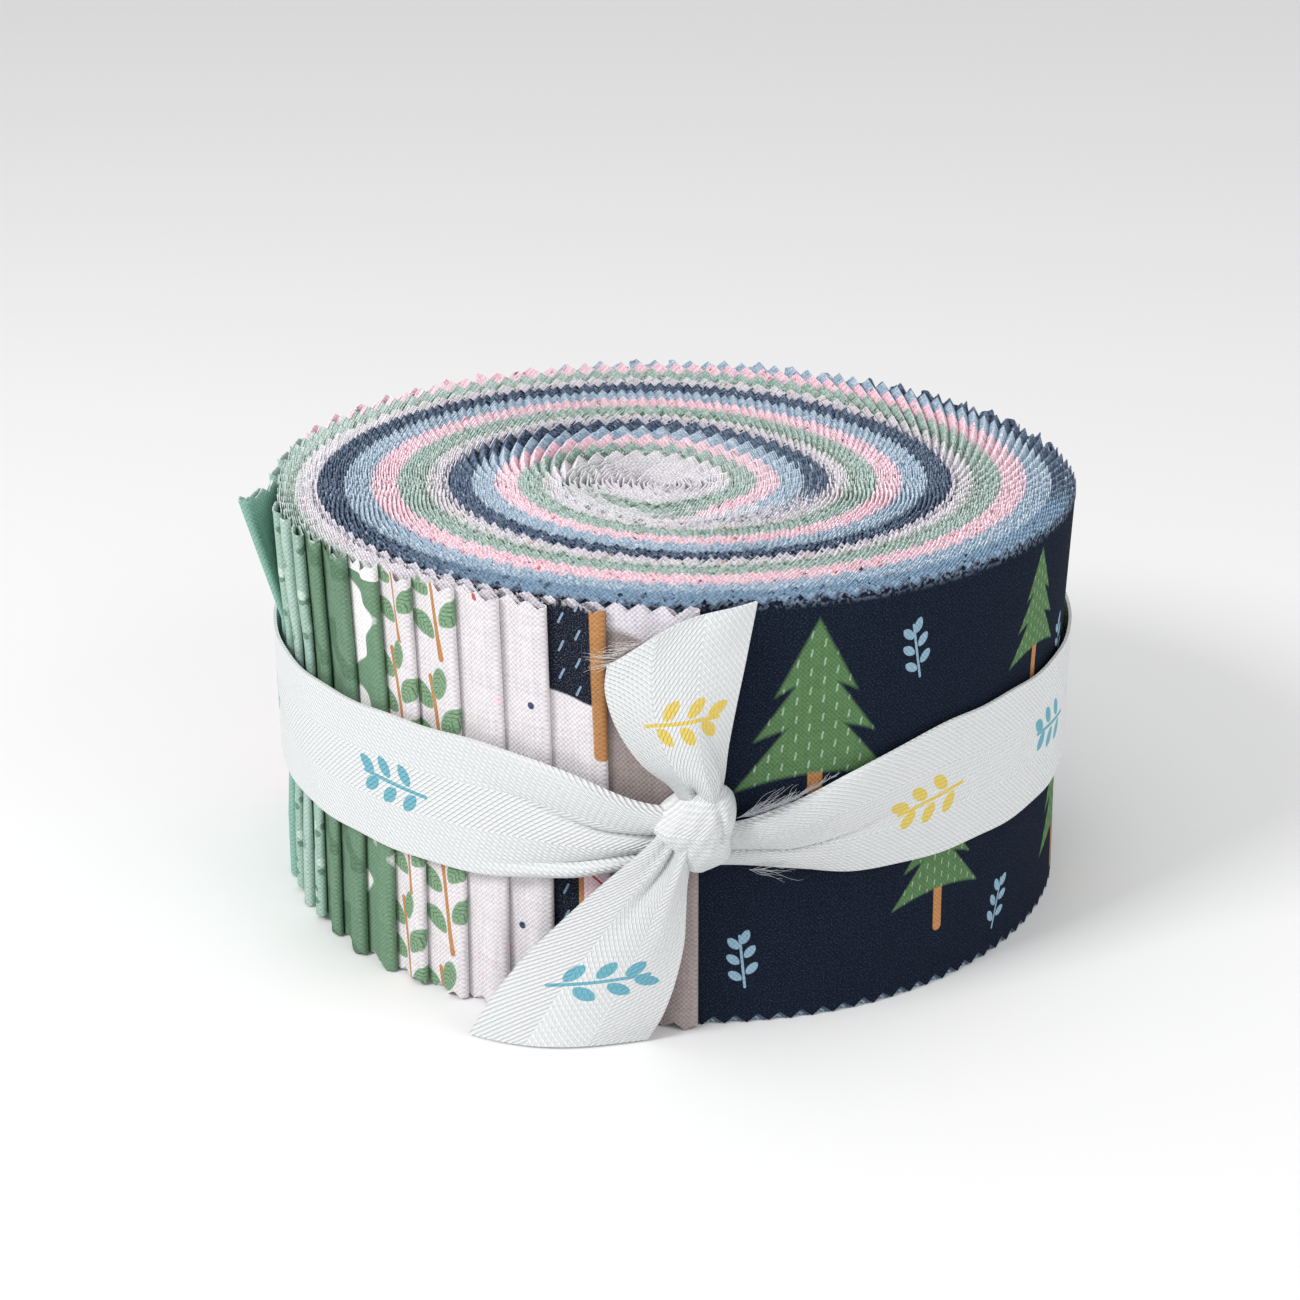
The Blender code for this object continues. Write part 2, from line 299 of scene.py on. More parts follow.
    def rim_push(self, height: np.ndarray) -> np.ndarray:
        """How far the rim stands out or in at a height.

        Args:
            height: Heights in metres.

        Returns:
            Distances outward in metres.
        """
        sizes = self.sizes
        levels = (0.0, sizes.waist_low, sizes.waist_high, sizes.height)
        return np.interp(height, levels, (0.0, -sizes.waist_press, -sizes.waist_press, sizes.top_flare))


@dataclass
class Layer:
    """One layer of a strip: its columns in order from the inner end to the fold."""

    angle: np.ndarray
    along: np.ndarray
    points: np.ndarray
    reach: np.ndarray
    right: np.ndarray
    teeth: np.ndarray

    @property
    def to_fold(self) -> np.ndarray:
        """Distances from the fold's tip."""
        return self.along[-1] - self.along


class SheetBuilder:
    """Collects the points, faces, cloth coordinates and sides of one closed sheet."""

    def __init__(self) -> None:
        """Start with nothing."""
        self.points: list[np.ndarray] = []
        self.cloth: list[np.ndarray] = []
        self.faces: list[tuple[int, ...]] = []
        self.sides: list[float] = []
        self.faded: list[np.ndarray] = []
        self.count = 0

    def add_points(self, points: np.ndarray, cloth: np.ndarray, faded: float = 0.0) -> int:
        """Add points.

        Args:
            points: Positions, three to a row.
            cloth: Cloth coordinates, two to a row.
            faded: How faded the cloth is there, from 0 to 1.

        Returns:
            The number of the first one.
        """
        first = self.count
        self.points.append(points)
        self.cloth.append(cloth)
        self.faded.append(np.full(len(points), faded, dtype=np.float32))
        self.count += len(points)
        return first

    def add_face(self, corners: Sequence[int], side: float) -> None:
        """Add one face.

        Args:
            corners: Numbers of its points, counterclockwise from outside.
            side: 0 for the printed side, 1 for the back and 0.5 for a cut edge.
        """
        self.faces.append(tuple(corners))
        self.sides.append(side)

    def finish(self, name: str, material: bpy.types.Material, sharp: float = 50.0) -> bpy.types.Object:
        """Make the object.

        Args:
            name: The object's name.
            material: Its finish.
            sharp: Edges that turn by more than this many degrees stay sharp.

        Returns:
            The new object, in the scene.
        """
        mesh = bpy.data.meshes.new(name)
        mesh.from_pydata(np.concatenate(self.points).tolist(), [], self.faces)
        cloth = np.concatenate(self.cloth)
        corner = np.empty(len(mesh.loops), dtype=np.int32)
        mesh.loops.foreach_get("vertex_index", corner)
        layer = mesh.uv_layers.new(name="cloth")
        layer.data.foreach_set("uv", cloth[corner].astype(np.float32).ravel())
        side = mesh.attributes.new("side", "FLOAT", "FACE")
        side.data.foreach_set("value", np.array(self.sides, dtype=np.float32))
        faded = mesh.attributes.new("faded", "FLOAT", "POINT")
        faded.data.foreach_set("value", np.concatenate(self.faded))
        mesh.materials.append(material)
        mesh.shade_smooth()
        mesh.set_sharp_from_angle(angle=math.radians(sharp))
        mesh.update()
        made = bpy.data.objects.new(name, mesh)
        bpy.context.collection.objects.link(made)
        return made


def sheet_from_grid(
    name: str,
    grid: np.ndarray,
    cloth: np.ndarray,
    thickness: float,
    material: bpy.types.Material,
) -> bpy.types.Object:
    """Make a closed sheet round a grid of points.

    Args:
        name: The object's name.
        grid: Middle points, rows by columns by 3. Across rows times across columns faces outward.
        cloth: Cloth coordinates, rows by columns by 2.
        thickness: How thick the sheet is.
        material: Its finish.

    Returns:
        The new object.
    """
    rows, columns = grid.shape[:2]
    along_row = np.gradient(grid, axis=1)
    along_column = np.gradient(grid, axis=0)
    normal = np.cross(along_row, along_column)
    normal /= np.linalg.norm(normal, axis=-1, keepdims=True) + 1e-12
    builder = SheetBuilder()
    flat_cloth = cloth.reshape(-1, 2)
    builder.add_points((grid + normal * thickness / 2).reshape(-1, 3), flat_cloth)
    builder.add_points((grid - normal * thickness / 2).reshape(-1, 3), flat_cloth)
    back = rows * columns
    for r in range(rows - 1):
        for c in range(columns - 1):
            a = r * columns + c
            b, d = a + 1, a + columns
            builder.add_face((a, b, d + 1, d), 0.0)
            builder.add_face((back + a, back + d, back + d + 1, back + b), 1.0)
    edge = [c for c in range(columns)]
    edge += [r * columns + columns - 1 for r in range(1, rows)]
    edge += [(rows - 1) * columns + c for c in range(columns - 2, -1, -1)]
    edge += [r * columns for r in range(rows - 2, 0, -1)]
    for here, there in zip(edge, edge[1:] + edge[:1]):
        builder.add_face((here, back + here, back + there, there), 0.5)
    return builder.finish(name, material)


class Strip:
    """One folded strip of the roll."""

    def __init__(self, winding: Winding, number: int) -> None:
        """Prepare a strip.

        Args:
            winding: The spiral that it follows.
            number: Its place in the stack, 0 outermost.
        """
        self.winding = winding
        self.cloth = winding.cloth
        self.number = number
        self.fold = float(winding.folds[number])
        self.random = np.random.default_rng(100 + number)
        folds = winding.folds
        before = winding.sizes.front_folds[-1] - 360 if number == 0 else folds[number - 1]
        self.shown = math.radians(self.fold - before) * winding.sizes.radius

    @property
    def name(self) -> str:
        """The object's name."""
        return f"strip_{self.number + 1:02d}"

    def _layer(self, layer: int) -> Layer:
        """Set out the columns of one layer.

        Args:
            layer: Its number, counted from the outside of the stack.

        Returns:
            The layer, up to the start of the fold's nose.
        """
        winding, cloth = self.winding, self.cloth
        end = winding.ends[layer]
        fine = np.append(np.arange(end, self.fold, 0.5), self.fold)
        points, _ = winding.place(fine, winding.layer_radius(fine, layer))
        steps = np.hypot(*np.diff(points, axis=0).T)
        along = np.concatenate([[0.0], np.cumsum(steps)])
        total = along[-1]
        reference = float(np.interp(cloth.reference_angle, fine, along))
        half = cloth.pitch / 2
        first = math.ceil((0.2 * MM - reference) / half)
        last = math.floor((total - reference) / half)
        regular = reference + half * np.arange(first, last + 1)
        swell = min(0.7 * self.shown, 6.0 * MM)
        crease = min(2.1 * MM, 0.4 * swell)
        near = total - np.array([swell, 0.75 * swell, 0.55 * swell, crease + 0.15 * MM, crease - 0.15 * MM, cloth.nose])
        keep = np.min(np.abs(regular[:, None] - near[None, :]), axis=1) > 0.28 * MM
        keep &= regular < total - cloth.nose - 0.2 * MM
        columns = np.sort(np.concatenate([[0.0], regular[keep], near]))
        phase = (columns - reference) / cloth.pitch
        teeth = 2 * np.abs(phase - np.round(phase))
        angle = np.interp(columns, along, fine)
        placed, reach = winding.place(angle, winding.layer_radius(angle, layer))
        direction = np.gradient(placed, axis=0)
        direction /= np.hypot(*direction.T)[:, None] + 1e-12
        right = np.stack([direction[:, 1], -direction[:, 0]], axis=-1)
        return Layer(angle, columns - total, placed, reach, right, teeth)

    def _swell(self, distance: np.ndarray) -> np.ndarray:
        """How far the outer layer stands off near the fold.

        Args:
            distance: Distances from the fold's tip.

        Returns:
            Distances outward in metres, by column and height.
        """
        reach = min(0.7 * self.shown, 6.0 * MM)
        crease = min(2.1 * MM, 0.4 * reach)
        tall = 0.6 * MM + 0.55 * MM * min(1.0, self.shown / (6.5 * MM))
        if self.number == 0:
            tall = 0.6 * MM
        shape = ease(1 - (distance - crease) / (reach - crease))
        shape = np.where(distance < crease, 1.0 - 0.22 * (1 - distance / crease), shape)
        start, wave = self.random.uniform(0, 6.28), self.random.uniform(0.08, 0.2)
        uneven = 1 + wave * np.sin(HEIGHTS / (9.0 * MM) + start)
        pressed = ease((HEIGHTS - 14.0 * MM) / (9.0 * MM)) * ease((49.0 * MM - HEIGHTS) / (9.0 * MM))
        return tall * shape[:, None] * (uneven * (1 - 0.5 * pressed))[None, :]

    def _lift(self, angle: np.ndarray) -> np.ndarray:
        """How far the loose end stands off the roll.

        Args:
            angle: Turning angles in degrees.

        Returns:
            Distances outward in metres, by column and height.
        """
        sizes = self.winding.sizes
        if self.number != self.winding.flap_strip:
            return np.zeros((len(angle), len(HEIGHTS)))
        along = np.clip((angle - sizes.flap_root) / (sizes.flap_fold - sizes.flap_root), 0, 1)
        free = ease((HEIGHTS - sizes.flap_held) / (sizes.height - sizes.flap_held))
        return sizes.flap_lift * (0.35 * along + 0.65 * along**2)[:, None] * free[None, :]

    def _push(self, layer: Layer, outer: bool) -> np.ndarray:
        """How far each point of a layer is moved outward.

        Args:
            layer: The layer.
            outer: Whether it is the strip's outer layer.

        Returns:
            Distances in metres, by column and height.
        """
        winding = self.winding
        push = winding.rim_push(HEIGHTS)[None, :] * ease((layer.reach - 0.86) / 0.14)[:, None]
        push = push - winding.settled(layer.angle, layer.reach)[:, None]
        push = push + self._lift(layer.angle)
        if outer:
            push = push + self._swell(-layer.along)
        return push

    def _tops(self, layer: Layer) -> tuple[np.ndarray, np.ndarray]:
        """Heights of the pinked edges.

        Args:
            layer: The layer.

        Returns:
            Heights of the top and of the bottom edge at each column.
        """
        offset = self.random.normal(0, 0.08 * MM)
        slow = 0.1 * MM * np.sin(np.radians(layer.angle) * 1.3 + self.random.uniform(0, 6.28))
        rough = self.random.normal(0, 0.06 * MM, len(layer.angle))
        core = ease((-430.0 - layer.angle) / 60.0)
        turned = self.winding.outer_turn(layer.angle)
        pleated = ease((turned - 520.0) / 30.0)
        cut = self.cloth.tooth * layer.teeth * (1 - 0.68 * core) * (1 - 0.15 * pleated)
        rough = rough * (1 + 2.0 * core)
        drop = self.cloth.rim_drop * ease((layer.reach - 0.925) / 0.075) * (0.25 + 0.75 * pleated)
        top = self.winding.sizes.height - cut - drop + np.clip(offset + slow + rough, -0.5 * MM, 0.15 * MM)
        return top, cut * 0.9 + np.abs(rough)

    def _grid(self, layer: Layer, push: np.ndarray) -> np.ndarray:
        """Middle points of a layer.

        Args:
            layer: The layer.
            push: How far each point is moved outward.

        Returns:
            Points, columns by heights by 3.
        """
        top, bottom = self._tops(layer)
        turn = np.radians(layer.angle)
        outward = np.stack([np.cos(turn), np.sin(turn)], axis=-1)
        grid = np.empty((len(turn), len(HEIGHTS), 3))
        grid[:, :, :2] = layer.points[:, None, :] + outward[:, None, :] * push[:, :, None]
        grid[:, :, 2] = HEIGHTS[None, :]
        grid[:, 0, 2] = bottom
        grid[:, -1, 2] = top
        waver = self.random.normal(0, 0.05 * MM, len(turn))
        inside = np.where(layer.reach < 0.93, 1.0, 0.4) * (1 + 1.5 * ease((-430.0 - layer.angle) / 60.0))
        grid[:, -1, :2] += outward * (waver * inside)[:, None]
        return grid

    def _rows(self, layer: Layer, outer: bool) -> list[Rows]:
        """Choose each column's heights.

        Args:
            layer: The layer.
            outer: Whether it is the strip's outer layer.

        Returns:
            One choice for each column.
        """
        shown = self.shown + 1.5 * MM if outer else 2.5 * MM
        if self.number == self.winding.flap_strip:
            shown = 12.0 * MM
        chosen = []
        for along, angle in zip(layer.along, layer.angle):
            if -along < shown:
                chosen.append(Rows.SHOWN)
            elif angle > self.fold - 395:
                chosen.append(Rows.OUTER)
            else:
                chosen.append(Rows.HIDDEN)
        return chosen

    def _nose(
        self, outer: np.ndarray, inner: np.ndarray, forward: np.ndarray
    ) -> tuple[np.ndarray, np.ndarray, np.ndarray]:
        """Round the fold from the outer layer's last column to the inner layer's.

        Args:
            outer: The outer layer's last column, heights by 3.
            inner: The inner layer's last column, heights by 3.
            forward: The way that the fold points, 2 values.

        Returns:
            Points (columns by heights by 3), right-hand directions (columns by 2) and cloth distances.
        """
        middle = (outer + inner) / 2
        half = (outer - inner) / 2
        ahead = np.array([forward[0], forward[1], 0.0])
        outward = np.array([forward[1], -forward[0]])
        turns = np.radians([35.0, 65.0, 95.0, 125.0, 155.0])
        grid, right, reach = [], [], []
        for turn in turns:
            column = middle + half * math.cos(turn) + ahead * self.cloth.nose * math.sin(turn)
            grid.append(column)
            right.append(outward * math.cos(turn) + np.array(forward) * math.sin(turn))
            reach.append(-self.cloth.nose * math.cos(turn))
        return np.array(grid), np.array(right), np.array(reach)

    def _faded(self, angle: np.ndarray) -> np.ndarray:
        """How faded the dark strips are where they pass the front.

        Args:
            angle: Turning angles in degrees.

        Returns:
            Values from 0 to 1.
        """
        if not 1 <= self.number <= 7:
            return np.zeros(len(angle))
        return ease((angle - 222.0) / 30.0) * ease((352.0 - angle) / 14.0)

    def build(self, material: bpy.types.Material) -> bpy.types.Object:
        """Make the strip's sheet.

        Args:
            material: Its finish.

        Returns:
            The new object.
        """
        outer, inner = self._layer(2 * self.number), self._layer(2 * self.number + 1)
        outer_grid = self._grid(outer, self._push(outer, True))
        inner_grid = self._grid(inner, self._push(inner, False))
        turn = math.radians(self.fold)
        forward = (-math.sin(turn), math.cos(turn))
        nose_grid, nose_right, nose_along = self._nose(outer_grid[-1], inner_grid[-1], np.array(forward))
        grid = np.concatenate([outer_grid, nose_grid, inner_grid[::-1]])
        right = np.concatenate([outer.right, nose_right, -inner.right[::-1]])
        along = np.concatenate([outer.along, nose_along, -inner.along[::-1]])
        rows = self._rows(outer, True) + [Rows.SHOWN] * len(nose_grid) + self._rows(inner, False)[::-1]
        angles = np.concatenate([outer.angle, np.full(len(nose_grid), self.fold), inner.angle[::-1]])
        faded = self._faded(angles)
        builder = SheetBuilder()
        offset = np.zeros((len(grid), 1, 3))
        offset[:, 0, :2] = right * self.cloth.thickness / 2
        sides = np.stack([grid + offset, grid - offset], axis=2)
        numbers: list[dict[int, tuple[int, int]]] = []
        for column, choice in enumerate(rows):
            picked = list(choice.value)
            points = sides[column, picked].reshape(-1, 3)
            cloth = np.stack([np.full(len(points), along[column]), points[:, 2]], axis=-1)
            first = builder.add_points(points, cloth, faded[column])
            numbers.append({row: (first + 2 * i, first + 2 * i + 1) for i, row in enumerate(picked)})
        for here, there in zip(numbers, numbers[1:]):
            self._join(builder, here, there)
        self._cap(builder, numbers[0], True)
        self._cap(builder, numbers[-1], False)
        return builder.finish(self.name, material)

    @staticmethod
    def _join(
        builder: SheetBuilder, here: dict[int, tuple[int, int]], there: dict[int, tuple[int, int]]
    ) -> None:
        """Fill between two neighbouring columns.

        Args:
            builder: The sheet.
            here: The first column's points by height, right side first.
            there: The next column's.
        """
        shared = sorted(set(here) & set(there))
        for low, high in zip(shared, shared[1:]):
            rows_here = [row for row in sorted(here) if low <= row <= high]
            rows_there = [row for row in sorted(there) if low <= row <= high]
            for side in (0, 1):
                corners = [here[low][side]]
                corners += [there[row][side] for row in rows_there]
                corners += [here[row][side] for row in reversed(rows_here[1:])]
                builder.add_face(corners[::-1] if side else corners, float(side))
        top, bottom = shared[-1], shared[0]
        builder.add_face((here[top][1], here[top][0], there[top][0], there[top][1]), 0.5)
        builder.add_face((here[bottom][0], here[bottom][1], there[bottom][1], there[bottom][0]), 0.5)

    @staticmethod
    def _cap(builder: SheetBuilder, column: dict[int, tuple[int, int]], start: bool) -> None:
        """Close a cut end.

        Args:
            builder: The sheet.
            column: The end column's points by height.
            start: Whether it is the first column.
        """
        rows = sorted(column)
        corners = [column[row][0] for row in rows] + [column[row][1] for row in reversed(rows)]
        builder.add_face(corners if start else corners[::-1], 0.5)


class Graph:
    """A node tree with short calls for the nodes used here."""

    def __init__(self, tree: bpy.types.NodeTree) -> None:
        """Wrap a tree.

        Args:
            tree: The node tree.
        """
        self.tree = tree

    def put(self, socket: bpy.types.NodeSocket, value: object) -> None:
        """Link or set an input.

        Args:
            socket: The input.
            value: An output to link, or a plain value.
        """
        if isinstance(value, bpy.types.NodeSocket):
            self.tree.links.new(value, socket)
        else:
            socket.default_value = value

    def node(self, kind: str, inputs: dict[str | int, object] | None = None, **settings: object) -> bpy.types.Node:
        """Add a node.

        Args:
            kind: Its type.
            inputs: Values or outputs for its inputs.
            **settings: Its properties.

        Returns:
            The node.
        """
        made = self.tree.nodes.new(kind)
        for name, value in settings.items():
            setattr(made, name, value)
        for key, value in (inputs or {}).items():
            self.put(made.inputs[key], value)
        return made

    def math(self, operation: str, *values: object, clamp: bool = False) -> bpy.types.NodeSocket:
        """Add a math node.

        Args:
            operation: Its operation.
            *values: Its inputs in order.
            clamp: Whether the result is cut to 0 to 1.

        Returns:
            The result.
        """
        made = self.node("ShaderNodeMath", dict(enumerate(values)), operation=operation, use_clamp=clamp)
        return made.outputs[0]

    def mix(self, share: object, first: object, second: object) -> bpy.types.NodeSocket:
        """Mix two colours.

        Args:
            share: How much of the second.
            first: The first colour.
            second: The second colour.

        Returns:
            The mixed colour.
        """
        made = self.node("ShaderNodeMix", {0: share, 6: first, 7: second}, data_type="RGBA")
        return made.outputs[2]

    def split(self, vector: object) -> tuple[bpy.types.NodeSocket, bpy.types.NodeSocket]:
        """Take a vector's first two parts.

        Args:
            vector: The vector.

        Returns:
            X and Y.
        """
        made = self.node("ShaderNodeSeparateXYZ", {0: vector})
        return made.outputs[0], made.outputs[1]

    def join(self, x: object, y: object, z: object = 0.0) -> bpy.types.NodeSocket:
        """Make a vector.

        Args:
            x: Its first part.
            y: Its second part.
            z: Its third part.

        Returns:
            The vector.
        """
        return self.node("ShaderNodeCombineXYZ", {0: x, 1: y, 2: z}).outputs[0]

    def noise(self, vector: object, scale: float, detail: float = 2.0) -> bpy.types.NodeSocket:
        """Add a noise texture.

        Args:
            vector: Where it is read.
            scale: Its scale.
            detail: Its detail.

        Returns:
            Values round 0.5.
        """
        inputs = {"Vector": vector, "Scale": scale, "Detail": detail}
        return self.node("ShaderNodeTexNoise", inputs).outputs[0]

    def use(self, group: bpy.types.NodeTree, **inputs: object) -> bpy.types.Node:
        """Add a shared group.

        Args:
            group: The group's tree.
            **inputs: Its inputs, with underscores for spaces.

        Returns:
            The group node.
        """
        made = self.node("ShaderNodeGroup", node_tree=group)
        for name, value in inputs.items():
            self.put(made.inputs[name.replace("_", " ")], value)
        return made


SOCKETS = {"f": "NodeSocketFloat", "v": "NodeSocketVector", "c": "NodeSocketColor"}


def new_group(
    name: str, inputs: dict[str, str], outputs: dict[str, str]
) -> tuple[Graph, bpy.types.Node, bpy.types.Node]:
    """Start a shared node group.

    Args:
        name: Its name.
        inputs: Kinds of its inputs by name: f, v or c.
        outputs: Kinds of its outputs by name.

    Returns:
        Its graph, the node with its inputs and the node with its outputs.
    """
    tree = bpy.data.node_groups.new(name, "ShaderNodeTree")
    for label, kind in inputs.items():
        tree.interface.new_socket(label, in_out="INPUT", socket_type=SOCKETS[kind])
    for label, kind in outputs.items():
        tree.interface.new_socket(label, in_out="OUTPUT", socket_type=SOCKETS[kind])
    graph = Graph(tree)
    return graph, graph.node("NodeGroupInput"), graph.node("NodeGroupOutput")


class Effects:
    """The shared effects that the finishes are put together from."""

    def __init__(self) -> None:
        """Make every group once."""
        self.turned = self._turned()
        self.leaf = self._leaf()
        self.bar = self._bar()
        self.repeat = self._repeat()
        self.flecks = self._flecks()
        self.weave = self._weave()
        self.twill = self._twill()
        self.cut_cloth = self._cut_cloth()
        self.sprig = self._sprig()
        self.fir = self._fir()

    @staticmethod
    def _turned() -> bpy.types.NodeTree:
        """Coordinates about a centre, turned by an angle.

        Returns:
            The group.
        """
        graph, given, out = new_group(
            "turned place", {"Place": "v", "Centre": "v", "Turn": "f"}, {"Place": "v"}
        )
        shifted = graph.node(
            "ShaderNodeVectorMath", {0: given.outputs["Place"], 1: given.outputs["Centre"]}, operation="SUBTRACT"
        )
        rotated = graph.node(
            "ShaderNodeVectorRotate",
            {"Vector": shifted.outputs[0], "Angle": given.outputs["Turn"]},
            rotation_type="Z_AXIS",
            invert=True,
        )
        graph.put(out.inputs[0], rotated.outputs[0])
        return graph.tree

    def _leaf(self) -> bpy.types.NodeTree:
        """A leaf with two pointed ends.

        Returns:
            The group.
        """
        inputs = {"Place": "v", "Centre": "v", "Turn": "f", "Half Length": "f", "Half Width": "f"}
        graph, given, out = new_group("leaf motif", inputs, {"Mask": "f", "Vein": "f"})
        local = graph.use(
            self.turned,
            Place=given.outputs["Place"],
            Centre=given.outputs["Centre"],
            Turn=given.outputs["Turn"],
        ).outputs[0]
        x, y = graph.split(local)
        length = graph.math("DIVIDE", x, given.outputs["Half Length"])
        width = graph.math("DIVIDE", graph.math("ABSOLUTE", y), given.outputs["Half Width"])
        round_width = graph.math("POWER", width, 1.6)
        inside = graph.math("SUBTRACT", graph.math("SUBTRACT", 1.0, graph.math("POWER", length, 2.0)), round_width)
        mask = graph.math("MULTIPLY", inside, 7.0, clamp=True)
        graph.put(out.inputs[0], mask)
        slant = graph.math("MULTIPLY_ADD", width, 0.5, length)
        ribs = graph.math("GREATER_THAN", graph.math("SINE", graph.math("MULTIPLY", slant, 21.0)), 0.72)
        inner = graph.math("GREATER_THAN", inside, 0.3)
        graph.put(out.inputs[1], graph.math("MULTIPLY", ribs, inner))
        return graph.tree

    def _bar(self) -> bpy.types.NodeTree:
        """A bar with round ends.

        Returns:
            The group.
        """
        inputs = {"Place": "v", "Centre": "v", "Turn": "f", "Half Length": "f", "Half Width": "f"}
        graph, given, out = new_group("bar motif", inputs, {"Mask": "f"})
        local = graph.use(
            self.turned,
            Place=given.outputs["Place"],
            Centre=given.outputs["Centre"],
            Turn=given.outputs["Turn"],
        ).outputs[0]
        x, y = graph.split(local)
        past = graph.math("SUBTRACT", graph.math("ABSOLUTE", x), given.outputs["Half Length"])
        past = graph.math("MAXIMUM", past, 0.0)
        away = graph.math("SQRT", graph.math("ADD", graph.math("POWER", past, 2.0), graph.math("POWER", y, 2.0)))
        share = graph.math("DIVIDE", away, given.outputs["Half Width"])
        graph.put(out.inputs[0], graph.math("MULTIPLY", graph.math("SUBTRACT", 1.0, share), 6.0, clamp=True))
        return graph.tree

    @staticmethod
    def _repeat() -> bpy.types.NodeTree:
        """Repeat a place in cells, with every second column shifted by half.

        Returns:
            The group.
        """
        graph, given, out = new_group(
            "repeat", {"Place": "v", "Width": "f", "Height": "f"}, {"Place": "v", "Cell": "v"}
        )
        x, y = graph.split(given.outputs["Place"])
        column = graph.math("FLOOR", graph.math("DIVIDE", x, given.outputs["Width"]))
        odd = graph.math("MULTIPLY", graph.math("FLOORED_MODULO", column, 2.0), 0.5)
        tall = graph.math("ADD", graph.math("DIVIDE", y, given.outputs["Height"]), odd)
        row = graph.math("FLOOR", tall)
        wide = graph.math("SUBTRACT", graph.math("DIVIDE", x, given.outputs["Width"]), column)
        local_x = graph.math("MULTIPLY", graph.math("SUBTRACT", wide, 0.5), given.outputs["Width"])
        local_y = graph.math("SUBTRACT", graph.math("SUBTRACT", tall, row), 0.5)
        local_y = graph.math("MULTIPLY", local_y, given.outputs["Height"])
        graph.put(out.inputs[0], graph.join(local_x, local_y))
        graph.put(out.inputs[1], graph.join(column, row))
        return graph.tree

    @staticmethod
    def _flecks() -> bpy.types.NodeTree:
        """Scattered small round flecks.

        Returns:
            The group.
        """
        graph, given, out = new_group(
            "flecks", {"Place": "v", "Spacing": "f", "Size": "f", "Seed": "f"}, {"Mask": "f"}
        )
        x, y = graph.split(given.outputs["Place"])
        scale = graph.math("DIVIDE", 1.0, given.outputs["Spacing"])
        moved = graph.join(
            graph.math("MULTIPLY_ADD", x, scale, given.outputs["Seed"]), graph.math("MULTIPLY", y, scale)
        )
        cells = graph.node("ShaderNodeTexVoronoi", {"Vector": moved, "Scale": 1.0}, voronoi_dimensions="2D")
        share = graph.math("DIVIDE", cells.outputs["Distance"], given.outputs["Size"])
        graph.put(out.inputs[0], graph.math("MULTIPLY", graph.math("SUBTRACT", 1.0, share), 5.0, clamp=True))
        return graph.tree

    @staticmethod
    def _weave() -> bpy.types.NodeTree:
        """The plain weave of quilting cotton, with slightly uneven threads.

        Returns:
            The group.
        """
        graph, given, out = new_group("plain weave", {"Place": "v", "Pitch": "f"}, {"Height": "f", "Shade": "f"})
        x, y = graph.split(given.outputs["Place"])
        turn = graph.math("DIVIDE", math.pi, given.outputs["Pitch"])
        wave_x = graph.math("SINE", graph.math("MULTIPLY", x, turn))
        wave_y = graph.math("SINE", graph.math("MULTIPLY", y, turn))
        over = graph.math("MULTIPLY", wave_x, wave_y)
        long_x = graph.noise(graph.join(graph.math("MULTIPLY", x, 190.0), graph.math("MULTIPLY", y, 2600.0)), 1.0)
        long_y = graph.noise(graph.join(graph.math("MULTIPLY", x, 2600.0), graph.math("MULTIPLY", y, 190.0)), 1.0)
        slub = graph.math("ADD", long_x, long_y)
        height = graph.math("MULTIPLY_ADD", slub, 0.3, graph.math("MULTIPLY", over, 0.8))
        graph.put(out.inputs[0], height)
        shade = graph.math("MULTIPLY_ADD", graph.math("SUBTRACT", slub, 1.0), 0.4, graph.math("MULTIPLY", over, 0.2))
        graph.put(out.inputs[1], shade)
        return graph.tree

    @staticmethod
    def _twill() -> bpy.types.NodeTree:
        """Herringbone twill: slanting ribs that change direction in lengthwise zones, with their painted shade.

        Returns:
            The group.
        """
        graph, given, out = new_group(
            "herringbone twill", {"Place": "v", "Rib": "f", "Zone": "f"}, {"Height": "f", "Shade": "f"}
        )
        x, y = graph.split(given.outputs["Place"])
        zone = graph.math("DIVIDE", y, given.outputs["Zone"])
        zigzag = graph.math("PINGPONG", zone, 1.0)
        lean = graph.math("MULTIPLY", zigzag, graph.math("MULTIPLY", given.outputs["Zone"], 1.25))
        along = graph.math("DIVIDE", graph.math("ADD", x, lean), given.outputs["Rib"])
        rib = graph.math("SINE", graph.math("MULTIPLY", along, 2 * math.pi))
        thread = graph.math("SINE", graph.math("MULTIPLY", y, 2 * math.pi / (0.62 * MM)))
        rough = graph.noise(given.outputs["Place"], 1500.0, 3.0)
        height = graph.math("MULTIPLY_ADD", graph.math("MULTIPLY", thread, rib), 0.4, rib)
        graph.put(out.inputs[0], graph.math("MULTIPLY_ADD", rough, 0.8, height))
        # Painted shade of the ribs: lower in the grooves between them, higher on their crests.
        shade = graph.math("MULTIPLY_ADD", rib, 0.35, graph.math("MULTIPLY_ADD", thread, 0.15, 0.5))
        graph.put(out.inputs[1], graph.math("MULTIPLY", shade, 1.0, clamp=True))
        return graph.tree

